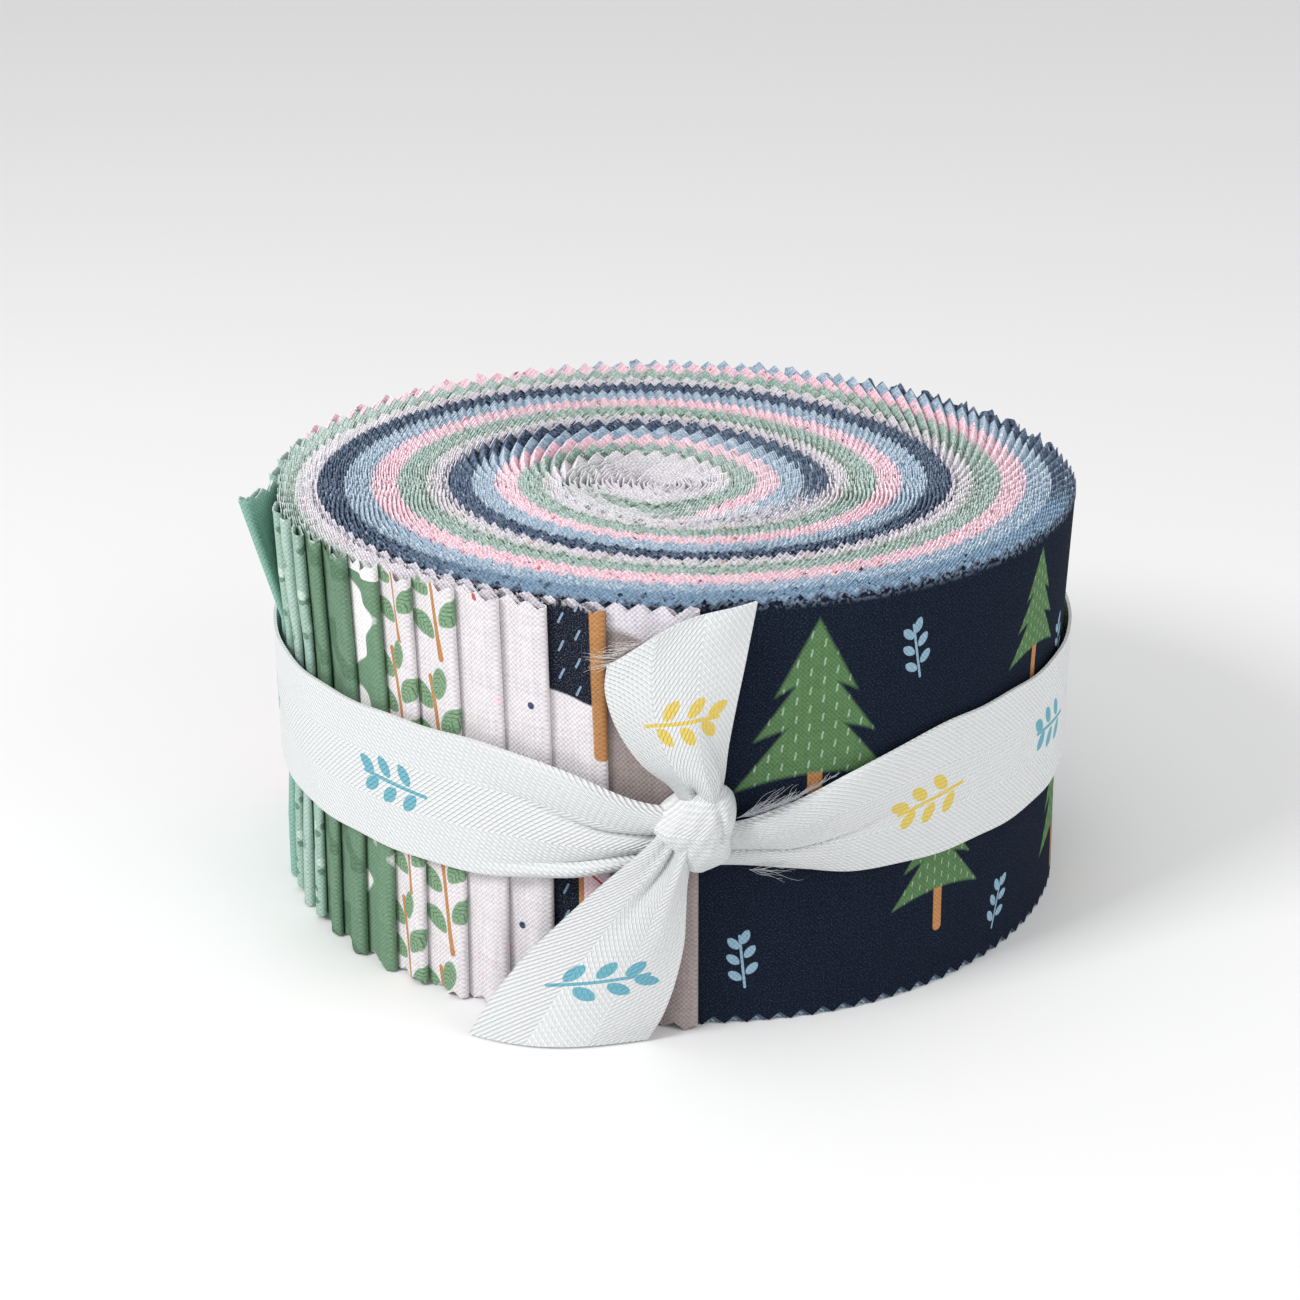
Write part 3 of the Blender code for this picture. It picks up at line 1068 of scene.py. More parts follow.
    @staticmethod
    def _cut_cloth() -> bpy.types.NodeTree:
        """Colours a strip: its print, its paler back, its cut edges and the plain ends.

        Returns:
            The group.
        """
        graph, given, out = new_group(
            "cut cloth",
            {"Place": "v", "Print": "c", "Shade": "f", "Back": "c", "Plain From": "f"},
            {"Colour": "c"},
        )
        side = graph.node("ShaderNodeAttribute", attribute_name="side", attribute_type="GEOMETRY").outputs["Fac"]
        x, y = graph.split(given.outputs["Place"])
        fuzz = graph.noise(given.outputs["Place"], 1500.0, 2.0)
        fade = graph.node("ShaderNodeAttribute", attribute_name="faded", attribute_type="GEOMETRY").outputs["Fac"]
        back = graph.mix(0.35, given.outputs["Print"], given.outputs["Back"])
        is_back = graph.math("GREATER_THAN", side, 0.75)
        colour = graph.mix(is_back, given.outputs["Print"], back)
        grain = graph.noise(given.outputs["Place"], 4600.0, 1.0)
        bare = graph.math("MULTIPLY", graph.math("SUBTRACT", grain, 0.5), 5.0, clamp=True)
        colour = graph.mix(graph.math("MULTIPLY", bare, 0.09), colour, given.outputs["Back"])
        not_print = graph.math("GREATER_THAN", side, 0.25)
        is_edge = graph.math("SUBTRACT", not_print, is_back)
        fibre = graph.mix(graph.math("MULTIPLY", fuzz, 0.9), given.outputs["Print"], given.outputs["Back"])
        colour = graph.mix(is_edge, colour, fibre)
        distance = graph.math("ABSOLUTE", x)
        past = graph.math("SUBTRACT", distance, given.outputs["Plain From"])
        plain = graph.math("DIVIDE", past, 4.0 * MM, clamp=True)
        speckled = graph.math("MULTIPLY", plain, graph.math("LESS_THAN", fuzz, 0.6))
        colour = graph.mix(graph.math("MULTIPLY", speckled, 0.92), colour, srgb(236, 232, 236))
        near_edge = graph.math("DIVIDE", graph.math("SUBTRACT", y, 61.3 * MM), 1.3 * MM, clamp=True)
        tuft = graph.math("MULTIPLY", graph.math("SUBTRACT", fuzz, 0.47), 9.0, clamp=True)
        worn = graph.math("MULTIPLY", graph.math("MULTIPLY", near_edge, tuft), 0.75)
        colour = graph.mix(worn, colour, given.outputs["Back"])
        patch = graph.math("GREATER_THAN", graph.noise(given.outputs["Place"], 330.0, 1.0), 0.36)
        colour = graph.mix(graph.math("MULTIPLY", graph.math("MULTIPLY", fade, patch), 0.85), colour, srgb(152, 180, 203))
        scaled = graph.node(
            "ShaderNodeHueSaturation",
            {"Value": graph.math("ADD", 1.0, given.outputs["Shade"]), "Color": colour},
        )
        graph.put(out.inputs[0], scaled.outputs[0])
        return graph.tree

    def _sprig(self) -> bpy.types.NodeTree:
        """A branch with seven leaves, about 20 mm tall at a scale of 1.

        Returns:
            The group.
        """
        graph, given, out = new_group(
            "leaf sprig", {"Place": "v", "Centre": "v", "Turn": "f", "Scale": "f"},
            {"Leaves": "f", "Stem": "f", "Veins": "f"},
        )
        local = graph.use(
            self.turned, Place=given.outputs["Place"], Centre=given.outputs["Centre"], Turn=given.outputs["Turn"]
        ).outputs[0]
        sized = graph.node(
            "ShaderNodeVectorMath", {0: local, 1: graph.join(*[given.outputs["Scale"]] * 3)}, operation="DIVIDE"
        ).outputs[0]
        leaves = (
            (-2.9, -5.9, 140.0), (3.0, -4.0, 40.0), (-3.0, 0.2, 136.0), (2.9, 2.2, 44.0),
            (-2.3, 6.0, 128.0), (1.9, 7.8, 62.0),
        )
        mask: object = 0.0
        veins: object = 0.0
        for x, y, turn in leaves:
            leaf = graph.use(
                self.leaf,
                Place=sized,
                Centre=(x * MM, y * MM, 0.0),
                Turn=math.radians(turn),
                Half_Length=2.8 * MM,
                Half_Width=1.6 * MM,
            )
            mask = graph.math("MAXIMUM", mask, leaf.outputs[0])
            veins = graph.math("MAXIMUM", veins, leaf.outputs[1])
        stem = graph.use(
            self.bar, Place=sized, Centre=(0.0, -1.0 * MM, 0.0), Turn=math.radians(90.0),
            Half_Length=9.5 * MM, Half_Width=0.5 * MM,
        ).outputs[0]
        graph.put(out.inputs[0], mask)
        graph.put(out.inputs[1], stem)
        graph.put(out.inputs[2], veins)
        return graph.tree

    def _fir(self) -> bpy.types.NodeTree:
        """A fir of three plain tiers on a trunk, 34 mm tall at a scale of 1.

        Returns:
            The group.
        """
        graph, given, out = new_group(
            "fir motif", {"Place": "v", "Centre": "v", "Scale": "f"},
            {"Tiers": "f", "Trunk": "f", "Needles": "f"},
        )
        local = graph.use(self.turned, Place=given.outputs["Place"], Centre=given.outputs["Centre"], Turn=0.0)
        sized = graph.node(
            "ShaderNodeVectorMath",
            {0: local.outputs[0], 1: graph.join(*[given.outputs["Scale"]] * 3)},
            operation="DIVIDE",
        ).outputs[0]
        x, y = graph.split(sized)
        across = graph.math("ABSOLUTE", x)
        tiers: object = 0.0
        for foot, top, wide in ((-9.0, 6.0, 12.5), (-1.0, 12.0, 9.5), (6.0, 18.0, 6.5)):
            slope = wide / (top - foot)
            edge = graph.math("MULTIPLY", graph.math("SUBTRACT", top * MM, y), slope)
            inside = graph.math("MULTIPLY", graph.math("SUBTRACT", edge, across), 1500.0, clamp=True)
            reach = graph.math("DIVIDE", across, wide * MM, clamp=True)
            sag = graph.math("MULTIPLY", graph.math("POWER", reach, 2.0), 2.2 * MM)
            above = graph.math("SUBTRACT", graph.math("ADD", y, sag), (foot + 1.2) * MM)
            above = graph.math("MULTIPLY", above, 1500.0, clamp=True)
            tiers = graph.math("MAXIMUM", tiers, graph.math("MULTIPLY", inside, above))
        trunk = graph.use(
            self.bar, Place=sized, Centre=(0.0, -11.5 * MM, 0.0), Turn=math.radians(90.0),
            Half_Length=5.0 * MM, Half_Width=1.3 * MM,
        ).outputs[0]
        cells = graph.use(self.repeat, Place=sized, Width=2.1 * MM, Height=3.0 * MM).outputs[0]
        dash = graph.use(
            self.bar, Place=cells, Centre=(0.0, 0.0, 0.0), Turn=math.radians(80.0),
            Half_Length=0.5 * MM, Half_Width=0.17 * MM,
        ).outputs[0]
        graph.put(out.inputs[0], tiers)
        graph.put(out.inputs[1], trunk)
        graph.put(out.inputs[2], graph.math("MULTIPLY", dash, tiers))
        return graph.tree


class Pattern(Enum):
    """What is printed on a strip."""

    PLAIN = "plain"
    FLECKS = "flecks"
    BLOTCHES = "blotches"
    LEAVES = "leaves"
    SPRIGS = "sprigs"
    FIRS = "firs"
    DASHES = "dashes"
    BLOCK = "block"
    BARK = "bark"


@dataclass(frozen=True)
class CottonFinish:
    """One printed cotton."""

    name: str
    pattern: Pattern
    ground: Colour
    mark: Colour = srgb(230, 230, 230)
    second: Colour = srgb(190, 135, 80)
    back: Colour = srgb(226, 226, 228)
    spacing: float = 5.0 * MM
    size: float = 0.28
    seed: float = 0.0
    plain_from: float = 0.575

    def build(self, effects: Effects) -> bpy.types.Material:
        """Make the material.

        Args:
            effects: The shared effects.

        Returns:
            The material.
        """
        made = bpy.data.materials.new(self.name)
        made.use_nodes = True
        graph = Graph(made.node_tree)
        shader = made.node_tree.nodes["Principled BSDF"]
        place = graph.node("ShaderNodeUVMap", uv_map="cloth").outputs[0]
        painter: dict[Pattern, Callable[[Graph, Effects, object], object]] = {
            Pattern.PLAIN: self._plain,
            Pattern.FLECKS: self._flecks,
            Pattern.BLOTCHES: self._blotches,
            Pattern.LEAVES: self._leaves,
            Pattern.SPRIGS: self._sprigs,
            Pattern.FIRS: self._firs,
            Pattern.DASHES: self._dashes,
            Pattern.BLOCK: self._block,
            Pattern.BARK: self._bark,
        }
        printed = painter[self.pattern](graph, effects, place)
        weave = graph.use(effects.weave, Place=place, Pitch=0.36 * MM)
        cut = graph.use(
            effects.cut_cloth,
            Place=place,
            Print=printed,
            Shade=weave.outputs["Shade"],
            Back=self.back,
            Plain_From=self.plain_from,
        )
        graph.put(shader.inputs["Base Color"], cut.outputs[0])
        bump = graph.node(
            "ShaderNodeBump", {"Height": weave.outputs["Height"], "Strength": 0.5, "Distance": 0.08 * MM}
        )
        graph.put(shader.inputs["Normal"], bump.outputs[0])
        shader.inputs["Roughness"].default_value = 0.92
        shader.inputs["Specular IOR Level"].default_value = 0.04
        return made

    def _plain(self, graph: Graph, effects: Effects, place: object) -> object:
        """Leave the ground as it is.

        Args:
            graph: The material's graph. Not used.
            effects: The shared effects. Not used.
            place: Cloth coordinates. Not used.

        Returns:
            The printed colour.
        """
        return self.ground

    def _flecks(self, graph: Graph, effects: Effects, place: object) -> object:
        """Scatter small flecks in two colours.

        Args:
            graph: The material's graph.
            effects: The shared effects.
            place: Cloth coordinates.

        Returns:
            The printed colour.
        """
        first = graph.use(effects.flecks, Place=place, Spacing=self.spacing, Size=self.size, Seed=self.seed)
        colour = graph.mix(first.outputs[0], self.ground, self.mark)
        other = graph.use(
            effects.flecks, Place=place, Spacing=self.spacing * 1.7, Size=self.size * 0.8, Seed=self.seed + 7.3
        )
        return graph.mix(other.outputs[0], colour, self.second)

    def _blotches(self, graph: Graph, effects: Effects, place: object) -> object:
        """Print soft-edged blotches.

        Args:
            graph: The material's graph.
            effects: The shared effects. Not used.
            place: Cloth coordinates.

        Returns:
            The printed colour.
        """
        moved = graph.node("ShaderNodeVectorMath", {0: place, 1: (self.seed, self.seed, 0.0)}, operation="ADD")
        field = graph.noise(moved.outputs[0], 1.0 / self.spacing, 1.0)
        mask = graph.math("MULTIPLY", graph.math("SUBTRACT", field, 1.0 - self.size), 60.0, clamp=True)
        top = graph.math("GREATER_THAN", graph.split(place)[1], 60.3 * MM)
        return graph.mix(graph.math("MAXIMUM", mask, top), self.ground, self.mark)

    def _leaves(self, graph: Graph, effects: Effects, place: object) -> object:
        """Print tossed leaves.

        Args:
            graph: The material's graph.
            effects: The shared effects.
            place: Cloth coordinates.

        Returns:
            The printed colour.
        """
        cells = graph.use(effects.repeat, Place=place, Width=self.spacing, Height=self.spacing * 1.25)
        colour: object = self.ground
        for x, y, turn in ((-0.2, -0.2, 60.0), (0.22, 0.05, 130.0), (-0.12, 0.3, 15.0)):
            leaf = graph.use(
                effects.leaf,
                Place=cells.outputs[0],
                Centre=(x * self.spacing, y * self.spacing, 0.0),
                Turn=math.radians(turn + 40 * self.seed),
                Half_Length=self.size * self.spacing,
                Half_Width=0.48 * self.size * self.spacing,
            )
            colour = graph.mix(leaf.outputs[0], colour, self.mark)
            colour = graph.mix(leaf.outputs[1], colour, self.second)
        return colour

    def _sprigs(self, graph: Graph, effects: Effects, place: object) -> object:
        """Print upright sprigs on thin stems.

        Args:
            graph: The material's graph.
            effects: The shared effects.
            place: Cloth coordinates.

        Returns:
            The printed colour.
        """
        moved = graph.node("ShaderNodeVectorMath", {0: place, 1: (self.seed * MM, 5.0 * MM, 0.0)}, operation="ADD")
        cells = graph.use(effects.repeat, Place=moved.outputs[0], Width=self.spacing, Height=self.spacing * 1.6)
        sprig = graph.use(
            effects.sprig, Place=cells.outputs[0], Centre=(0.0, 0.0, 0.0), Turn=0.16, Scale=self.size
        )
        colour = graph.mix(sprig.outputs["Stem"], self.ground, self.second)
        colour = graph.mix(sprig.outputs["Leaves"], colour, self.mark)
        return graph.mix(graph.math("MULTIPLY", sprig.outputs["Veins"], 0.75), colour, srgb(72, 106, 78))

    def _firs(self, graph: Graph, effects: Effects, place: object) -> object:
        """Print plain firs and small pale sprigs.

        Args:
            graph: The material's graph.
            effects: The shared effects.
            place: Cloth coordinates.

        Returns:
            The printed colour.
        """
        colour: object = self.ground
        trees = ((-87.0, 44.0, 0.9), (-66.0, 20.0, 0.66), (-44.0, 50.0, 0.6), (-26.0, 16.0, 0.8), (-9.0, 46.0, 0.8))
        for x, y, scale in trees:
            fir = graph.use(effects.fir, Place=place, Centre=(x * MM, y * MM, 0.0), Scale=scale)
            colour = graph.mix(fir.outputs["Trunk"], colour, self.second)
            colour = graph.mix(fir.outputs["Tiers"], colour, self.mark)
            colour = graph.mix(graph.math("MULTIPLY", fir.outputs["Needles"], 0.6), colour, srgb(176, 200, 176))
        small = ((-72.0, 53.0, 0.2, 0.42), (-52.0, 8.0, -0.3, 0.4), (-31.0, 42.0, 0.25, 0.4), (-97.0, 10.0, 0.1, 0.42))
        for x, y, turn, scale in small:
            sprig = graph.use(effects.sprig, Place=place, Centre=(x * MM, y * MM, 0.0), Turn=turn, Scale=scale)
            shape = graph.math("MAXIMUM", sprig.outputs["Leaves"], sprig.outputs["Stem"])
            colour = graph.mix(shape, colour, srgb(140, 170, 190))
        return colour

    def _dashes(self, graph: Graph, effects: Effects, place: object) -> object:
        """Print short dashes.

        Args:
            graph: The material's graph.
            effects: The shared effects.
            place: Cloth coordinates.

        Returns:
            The printed colour.
        """
        cells = graph.use(effects.repeat, Place=place, Width=self.spacing, Height=self.spacing * 1.3)
        dash = graph.use(
            effects.bar,
            Place=cells.outputs[0],
            Centre=(0.0, 0.0, 0.0),
            Turn=math.radians(75.0),
            Half_Length=0.25 * self.spacing,
            Half_Width=0.09 * self.spacing,
        )
        return graph.mix(dash.outputs[0], self.ground, self.mark)

    def _block(self, graph: Graph, effects: Effects, place: object) -> object:
        """Print a dark bank with pale dashes on a light ground, and a bare stem on the fold.

        Args:
            graph: The material's graph.
            effects: The shared effects.
            place: Cloth coordinates.

        Returns:
            The printed colour.
        """
        x, y = graph.split(place)
        level = graph.math("MULTIPLY_ADD", x, 0.22, y)
        upper = graph.math("MULTIPLY", graph.math("SUBTRACT", level, 47.6 * MM), 3000.0, clamp=True)
        lower = graph.math("MULTIPLY", graph.math("SUBTRACT", 27.0 * MM, level), 3000.0, clamp=True)
        pink = graph.math("MULTIPLY", graph.math("GREATER_THAN", x, -3.9 * MM), lower)
        bank = graph.math("MAXIMUM", upper, lower)
        cells = graph.use(effects.repeat, Place=place, Width=2.5 * MM, Height=4.0 * MM)
        dash = graph.use(
            effects.bar, Place=cells.outputs[0], Centre=(0.0, 0.0, 0.0), Turn=math.radians(64.0),
            Half_Length=0.75 * MM, Half_Width=0.18 * MM,
        )
        dark = graph.mix(graph.math("MULTIPLY", dash.outputs[0], 0.75), self.mark, srgb(150, 175, 200))
        colour = graph.mix(bank, self.ground, dark)
        colour = graph.mix(pink, colour, srgb(242, 214, 220))
        parts = ((-0.9, 52.4, 90.8, 11.4, 1.1, self.second), (-3.9, 14.0, 90.0, 14.0, 0.45, self.second))
        for along, height, turn, half, wide, paint in (*parts, (-1.2, 22.0, 140.0, 4.0, 0.18, srgb(196, 70, 70))):
            bar = graph.use(
                effects.bar, Place=place, Centre=(along * MM, height * MM, 0.0), Turn=math.radians(turn),
                Half_Length=half * MM, Half_Width=wide * MM,
            )
            colour = graph.mix(bar.outputs[0], colour, paint)
        return colour

    def _bark(self, graph: Graph, effects: Effects, place: object) -> object:
        """Print a pale border along the top, with a wavy lower edge.

        Args:
            graph: The material's graph.
            effects: The shared effects. Not used.
            place: Cloth coordinates.

        Returns:
            The printed colour.
        """
        _, y = graph.split(place)
        wave = graph.math("SUBTRACT", graph.noise(place, 120.0, 1.0), 0.5)
        level = graph.math("MULTIPLY_ADD", wave, 6.0 * MM, y)
        border = graph.math("MULTIPLY", graph.math("SUBTRACT", level, 57.4 * MM), 1200.0, clamp=True)
        return graph.mix(border, self.ground, self.mark)


@dataclass(frozen=True)
class TapeFinish:
    """The white herringbone tape, with small printed ornaments and painted shade in the grooves of its ribs."""

    name: str
    white: Colour = srgb(243, 243, 240)
    # The colour of the painted shade in the grooves between the ribs.
    shade: Colour = srgb(220, 225, 230)
    teal: Colour = srgb(75, 170, 190)
    yellow: Colour = srgb(235, 205, 60)
    rib: float = 0.95 * MM
    on_cloth: bool = True
    ornaments: tuple[tuple[float, float, float, bool], ...] = ()

    def build(self, effects: Effects) -> bpy.types.Material:
        """Make the material.

        Args:
            effects: The shared effects.

        Returns:
            The material.
        """
        made = bpy.data.materials.new(self.name)
        made.use_nodes = True
        graph = Graph(made.node_tree)
        shader = made.node_tree.nodes["Principled BSDF"]
        if self.on_cloth:
            place = graph.node("ShaderNodeUVMap", uv_map="cloth").outputs[0]
        else:
            place = graph.node("ShaderNodeTexCoord").outputs["Object"]
            x, _ = graph.split(place)
            z = graph.node("ShaderNodeSeparateXYZ", {0: place}).outputs[2]
            place = graph.join(x, z)
        twill = graph.use(effects.twill, Place=place, Rib=self.rib, Zone=6.5 * MM)
        # Painted shade: the tape turns from white toward the shade colour in the rib grooves.
        colour: object = graph.mix(graph.math("SUBTRACT", 1.0, twill.outputs["Shade"]), self.white, self.shade)
        for along, across, turn, warm in self.ornaments:
            sprig = graph.use(
                effects.sprig, Place=place, Centre=(along, across, 0.0), Turn=turn, Scale=0.62
            )
            shape = graph.math("MAXIMUM", sprig.outputs["Leaves"], sprig.outputs["Stem"])
            colour = graph.mix(
                graph.math("MULTIPLY", shape, 0.85), colour, self.yellow if warm else self.teal
            )
        graph.put(shader.inputs["Base Color"], colour)
        bump = graph.node(
            "ShaderNodeBump", {"Height": twill.outputs["Height"], "Strength": 0.9, "Distance": 0.12 * MM}
        )
        graph.put(shader.inputs["Normal"], bump.outputs[0])
        shader.inputs["Roughness"].default_value = 0.75
        shader.inputs["Specular IOR Level"].default_value = 0.15
        return made


NAVY, NAVY_BACK = srgb(20, 28, 42), srgb(134, 150, 172)
BLUE, PALE_BLUE = srgb(146, 174, 196), srgb(214, 224, 234)
PINK, PALE_PINK = srgb(244, 206, 218), srgb(250, 236, 242)
PALE_SAGE = srgb(214, 224, 222)
WHITE, PALE_WHITE, TAN = srgb(222, 217, 220), srgb(238, 234, 242), srgb(184, 132, 84)
LEAF = srgb(126, 158, 126)

COTTONS: tuple[CottonFinish, ...] = (
    CottonFinish("navy with firs", Pattern.FIRS, NAVY, srgb(88, 122, 80), TAN, NAVY_BACK, plain_from=0.556),
    CottonFinish(
        "navy with flecks", Pattern.FLECKS, srgb(40, 52, 78), srgb(170, 190, 208), srgb(220, 228, 235), NAVY_BACK,
        2.6 * MM, 0.16, 3.0, 0.556,
    ),
    CottonFinish(
        "navy with dashes", Pattern.DASHES, srgb(44, 58, 84), srgb(140, 160, 184), TAN, NAVY_BACK, 3.0 * MM,
        plain_from=0.560,
    ),
    CottonFinish(
        "blue with flecks", Pattern.FLECKS, BLUE, srgb(226, 234, 240), srgb(60, 80, 110), PALE_BLUE,
        2.8 * MM, 0.14, 5.0, 0.566,
    ),
    CottonFinish(
        "blue with dashes", Pattern.DASHES, srgb(152, 180, 202), srgb(214, 226, 234), TAN, PALE_BLUE, 2.8 * MM,
        plain_from=0.570,
    ),
    CottonFinish(
        "pink with flecks", Pattern.FLECKS, PINK, srgb(206, 84, 90), srgb(50, 58, 84), PALE_PINK,
        2.6 * MM, 0.15, 9.0, 0.574,
    ),
    CottonFinish(
        "pink with dots", Pattern.FLECKS, srgb(246, 212, 222), srgb(206, 120, 96), srgb(70, 80, 110), PALE_PINK,
        2.8 * MM, 0.14, 2.0, 0.574,
    ),
    CottonFinish("pink plain", Pattern.PLAIN, srgb(240, 196, 210), back=PALE_PINK, plain_from=0.574),
    CottonFinish("sage plain", Pattern.PLAIN, srgb(134, 176, 162), back=PALE_SAGE),
    CottonFinish(
        "sage with flecks", Pattern.FLECKS, srgb(156, 184, 172), srgb(104, 136, 116), srgb(190, 208, 200), PALE_SAGE,
        3.4 * MM, 0.18, 4.0, 0.578,
    ),
    CottonFinish(
        "sage with leaves", Pattern.LEAVES, srgb(168, 192, 182), srgb(124, 154, 138), srgb(212, 224, 218), PALE_SAGE,
        9.0 * MM, 0.3, plain_from=0.578,
    ),
    CottonFinish(
        "green tone on tone", Pattern.LEAVES, srgb(106, 136, 112), srgb(92, 122, 98), srgb(80, 108, 86), PALE_SAGE,
        12.0 * MM, 0.34, 0.6, 0.578,
    ),
    CottonFinish(
        "green with blotches", Pattern.BLOTCHES, srgb(108, 140, 114), srgb(238, 236, 236), back=PALE_SAGE,
        spacing=12.0 * MM, size=0.46, seed=0.31,
    ),
    CottonFinish(
        "white with leafy stems", Pattern.SPRIGS, WHITE, LEAF, TAN, PALE_WHITE, 12.0 * MM, 0.92, 9.6, 0.52,
    ),
    CottonFinish(
        "white with sprigs", Pattern.SPRIGS, WHITE, LEAF, TAN, PALE_WHITE, 14.0 * MM, 1.0, 24.7, 0.52,
    ),
    CottonFinish(
        "white with pink dots", Pattern.FLECKS, WHITE, PINK, srgb(190, 90, 90), PALE_WHITE, 9.0 * MM, 0.05, 2.6, 0.52,
    ),
    CottonFinish(
        "white with dark dots", Pattern.FLECKS, WHITE, srgb(60, 70, 100), srgb(226, 218, 228), PALE_WHITE,
        13.0 * MM, 0.045, 8.6, 0.52,
    ),
    CottonFinish("white with dark banks", Pattern.BLOCK, WHITE, NAVY, TAN, PALE_WHITE, plain_from=0.50),
    CottonFinish(
        "taupe linen", Pattern.BARK, srgb(158, 146, 144), srgb(226, 221, 229), back=srgb(228, 223, 232),
        plain_from=0.45,
    ),
)

STRIP_FINISHES: tuple[int, ...] = (
    0, 1, 2, 1, 2, 2, 1, 2,
    3, 4, 3, 4, 4, 3, 4, 3,
    5, 7, 6, 5, 7, 6, 5, 7,
    9, 10, 9, 8, 9, 10, 9, 11,
    11, 12, 13, 14, 15, 16, 17, 18,
)


@dataclass(frozen=True)
class BandSection:
    """The band's section at an angle, in degrees and millimetres."""

    angle: float
    low: float
    high: float
    thick: float
    ridge: float


@dataclass(frozen=True)
class TapeSizes:
    """Sizes of the tape, as in the CAD source."""

    width: float = 19.5 * MM
    thickness: float = 0.45 * MM
    clear: float = 0.15 * MM
    bow: float = 1.3 * MM
    knot_angle: float = 272.7
    knot_height: float = 31.4 * MM
    knot_depth: float = 6.6 * MM
    knot_outline: tuple[tuple[float, float], ...] = (
        (5.6, 2.7), (5.3, 4.6), (4.1, 5.9), (2.4, 6.3), (0.5, 6.1), (-1.3, 5.5), (-3.0, 4.5), (-4.6, 2.9),
        (-6.3, 1.1), (-5.2, -0.3), (-3.8, -1.5), (-2.6, -3.0), (-1.8, -4.6), (-1.0, -5.7), (0.3, -6.4),
        (1.5, -5.8), (3.1, -5.1), (4.6, -4.2), (5.0, -2.4), (4.8, -0.9), (5.2, 0.7),
    )
    band: tuple[BandSection, ...] = (
        BandSection(278.3, 26.2, 31.8, 2.8, 0.6),
        BandSection(285.0, 24.6, 34.0, 2.2, 0.6),
        BandSection(292.0, 22.6, 37.0, 1.7, 0.5),
        BandSection(301.0, 21.6, 39.8, 1.3, 0.3),
        BandSection(310.0, 21.3, 41.2, 1.1, 0.1),
        BandSection(320.0, 21.2, 41.5, 1.0, 0.0),
        BandSection(450.0, 21.6, 41.8, 1.0, 0.0),
        BandSection(600.0, 21.2, 41.6, 1.0, 0.0),
        BandSection(611.0, 22.2, 40.8, 1.2, 0.2),
        BandSection(619.0, 23.6, 38.0, 1.8, 0.5),
        BandSection(626.7, 26.4, 34.6, 2.8, 0.6),
    )
    corner_threads: tuple[tuple[float, ...], ...] = (
        (262.3, 55.0, 62.4, 263.4, 56.0, 62.5, -0.9, -0.15, 0.15, 4.2, 12),
        (263.6, 56.4, 62.6, 266.8, 58.6, 62.7, -0.95, 0.0, 0.25, 5.6, 22),
        (267.0, 58.8, 62.7, 269.8, 60.4, 62.9, -0.8, 0.35, 0.25, 3.6, 16),
        (270.0, 60.4, 63.2, 274.0, 62.0, 63.2, -0.7, 0.5, 0.2, 1.6, 12),
    )
    knot_threads: tuple[tuple[float, ...], ...] = (
        (277.6, 33.4, 63.4, 281.0, 33.8, 62.8, 0.93, 0.42, 0.02, 7.0, 40),
        (281.5, 33.8, 62.6, 286.0, 35.4, 62.4, 0.85, 0.55, 0.08, 3.6, 40),
        (286.0, 35.4, 62.4, 290.0, 37.4, 62.4, 0.7, 0.7, 0.1, 1.8, 30),
        (279.0, 25.9, 63.8, 281.0, 25.6, 63.6, 0.98, -0.03, 0.1, 6.0, 14),
    )
    upper: tuple[tuple[float, ...], ...] = (
        (269.6, 38.3, 62.4, 276.4, 38.4, 62.4),
        (266.2, 41.2, 62.0, 276.9, 43.5, 62.2),
        (263.3, 46.0, 61.8, 277.8, 50.0, 62.0),
        (261.9, 51.0, 61.7, 279.0, 57.0, 61.8),
        (262.2, 54.9, 61.7, 280.0, 63.7, 61.8),
    )
    lower: tuple[tuple[float, ...], ...] = (
        (266.9, 30.2, 64.9, 271.6, 24.8, 64.3),
        (262.2, 25.2, 65.4, 271.5, 20.6, 64.3),
        (257.6, 19.8, 65.9, 271.3, 15.2, 63.9),
        (252.6, 13.2, 66.6, 270.2, 9.0, 63.7),
        (248.8, 6.8, 67.3, 268.7, 4.0, 63.7),
        (245.8, 0.4, 68.0, 266.9, 0.4, 63.8),
    )


def around(radius: np.ndarray, angle: np.ndarray, height: np.ndarray) -> np.ndarray:
    """Turn cylinder coordinates into points.

    Args:
        radius: Radii in metres.
        angle: Angles in degrees.
        height: Heights in metres.

    Returns:
        Points, with a last axis of 3.
    """
    turn = np.radians(angle)
    radius, turn, height = np.broadcast_arrays(radius, turn, height)
    return np.stack([radius * np.cos(turn), radius * np.sin(turn), height], axis=-1)


def smooth_table(table: Sequence[Sequence[float]], count: int) -> np.ndarray:
    """Draw a smooth curve through a table's rows.

    Args:
        table: Rows of values.
        count: How many rows to give back.

    Returns:
        The finer rows.
    """
    rows = np.array(table)
    padded = np.vstack([2 * rows[0] - rows[1], rows, 2 * rows[-1] - rows[-2]])
    spots = np.linspace(0, len(rows) - 1 - 1e-9, count)
    index = spots.astype(int)
    share = (spots - index)[:, None]
    a, b, c, d = (padded[index + k] for k in range(4))
    return 0.5 * (
        2 * b + (c - a) * share + (2 * a - 5 * b + 4 * c - d) * share**2 + (3 * b - a - 3 * c + d) * share**3
    )


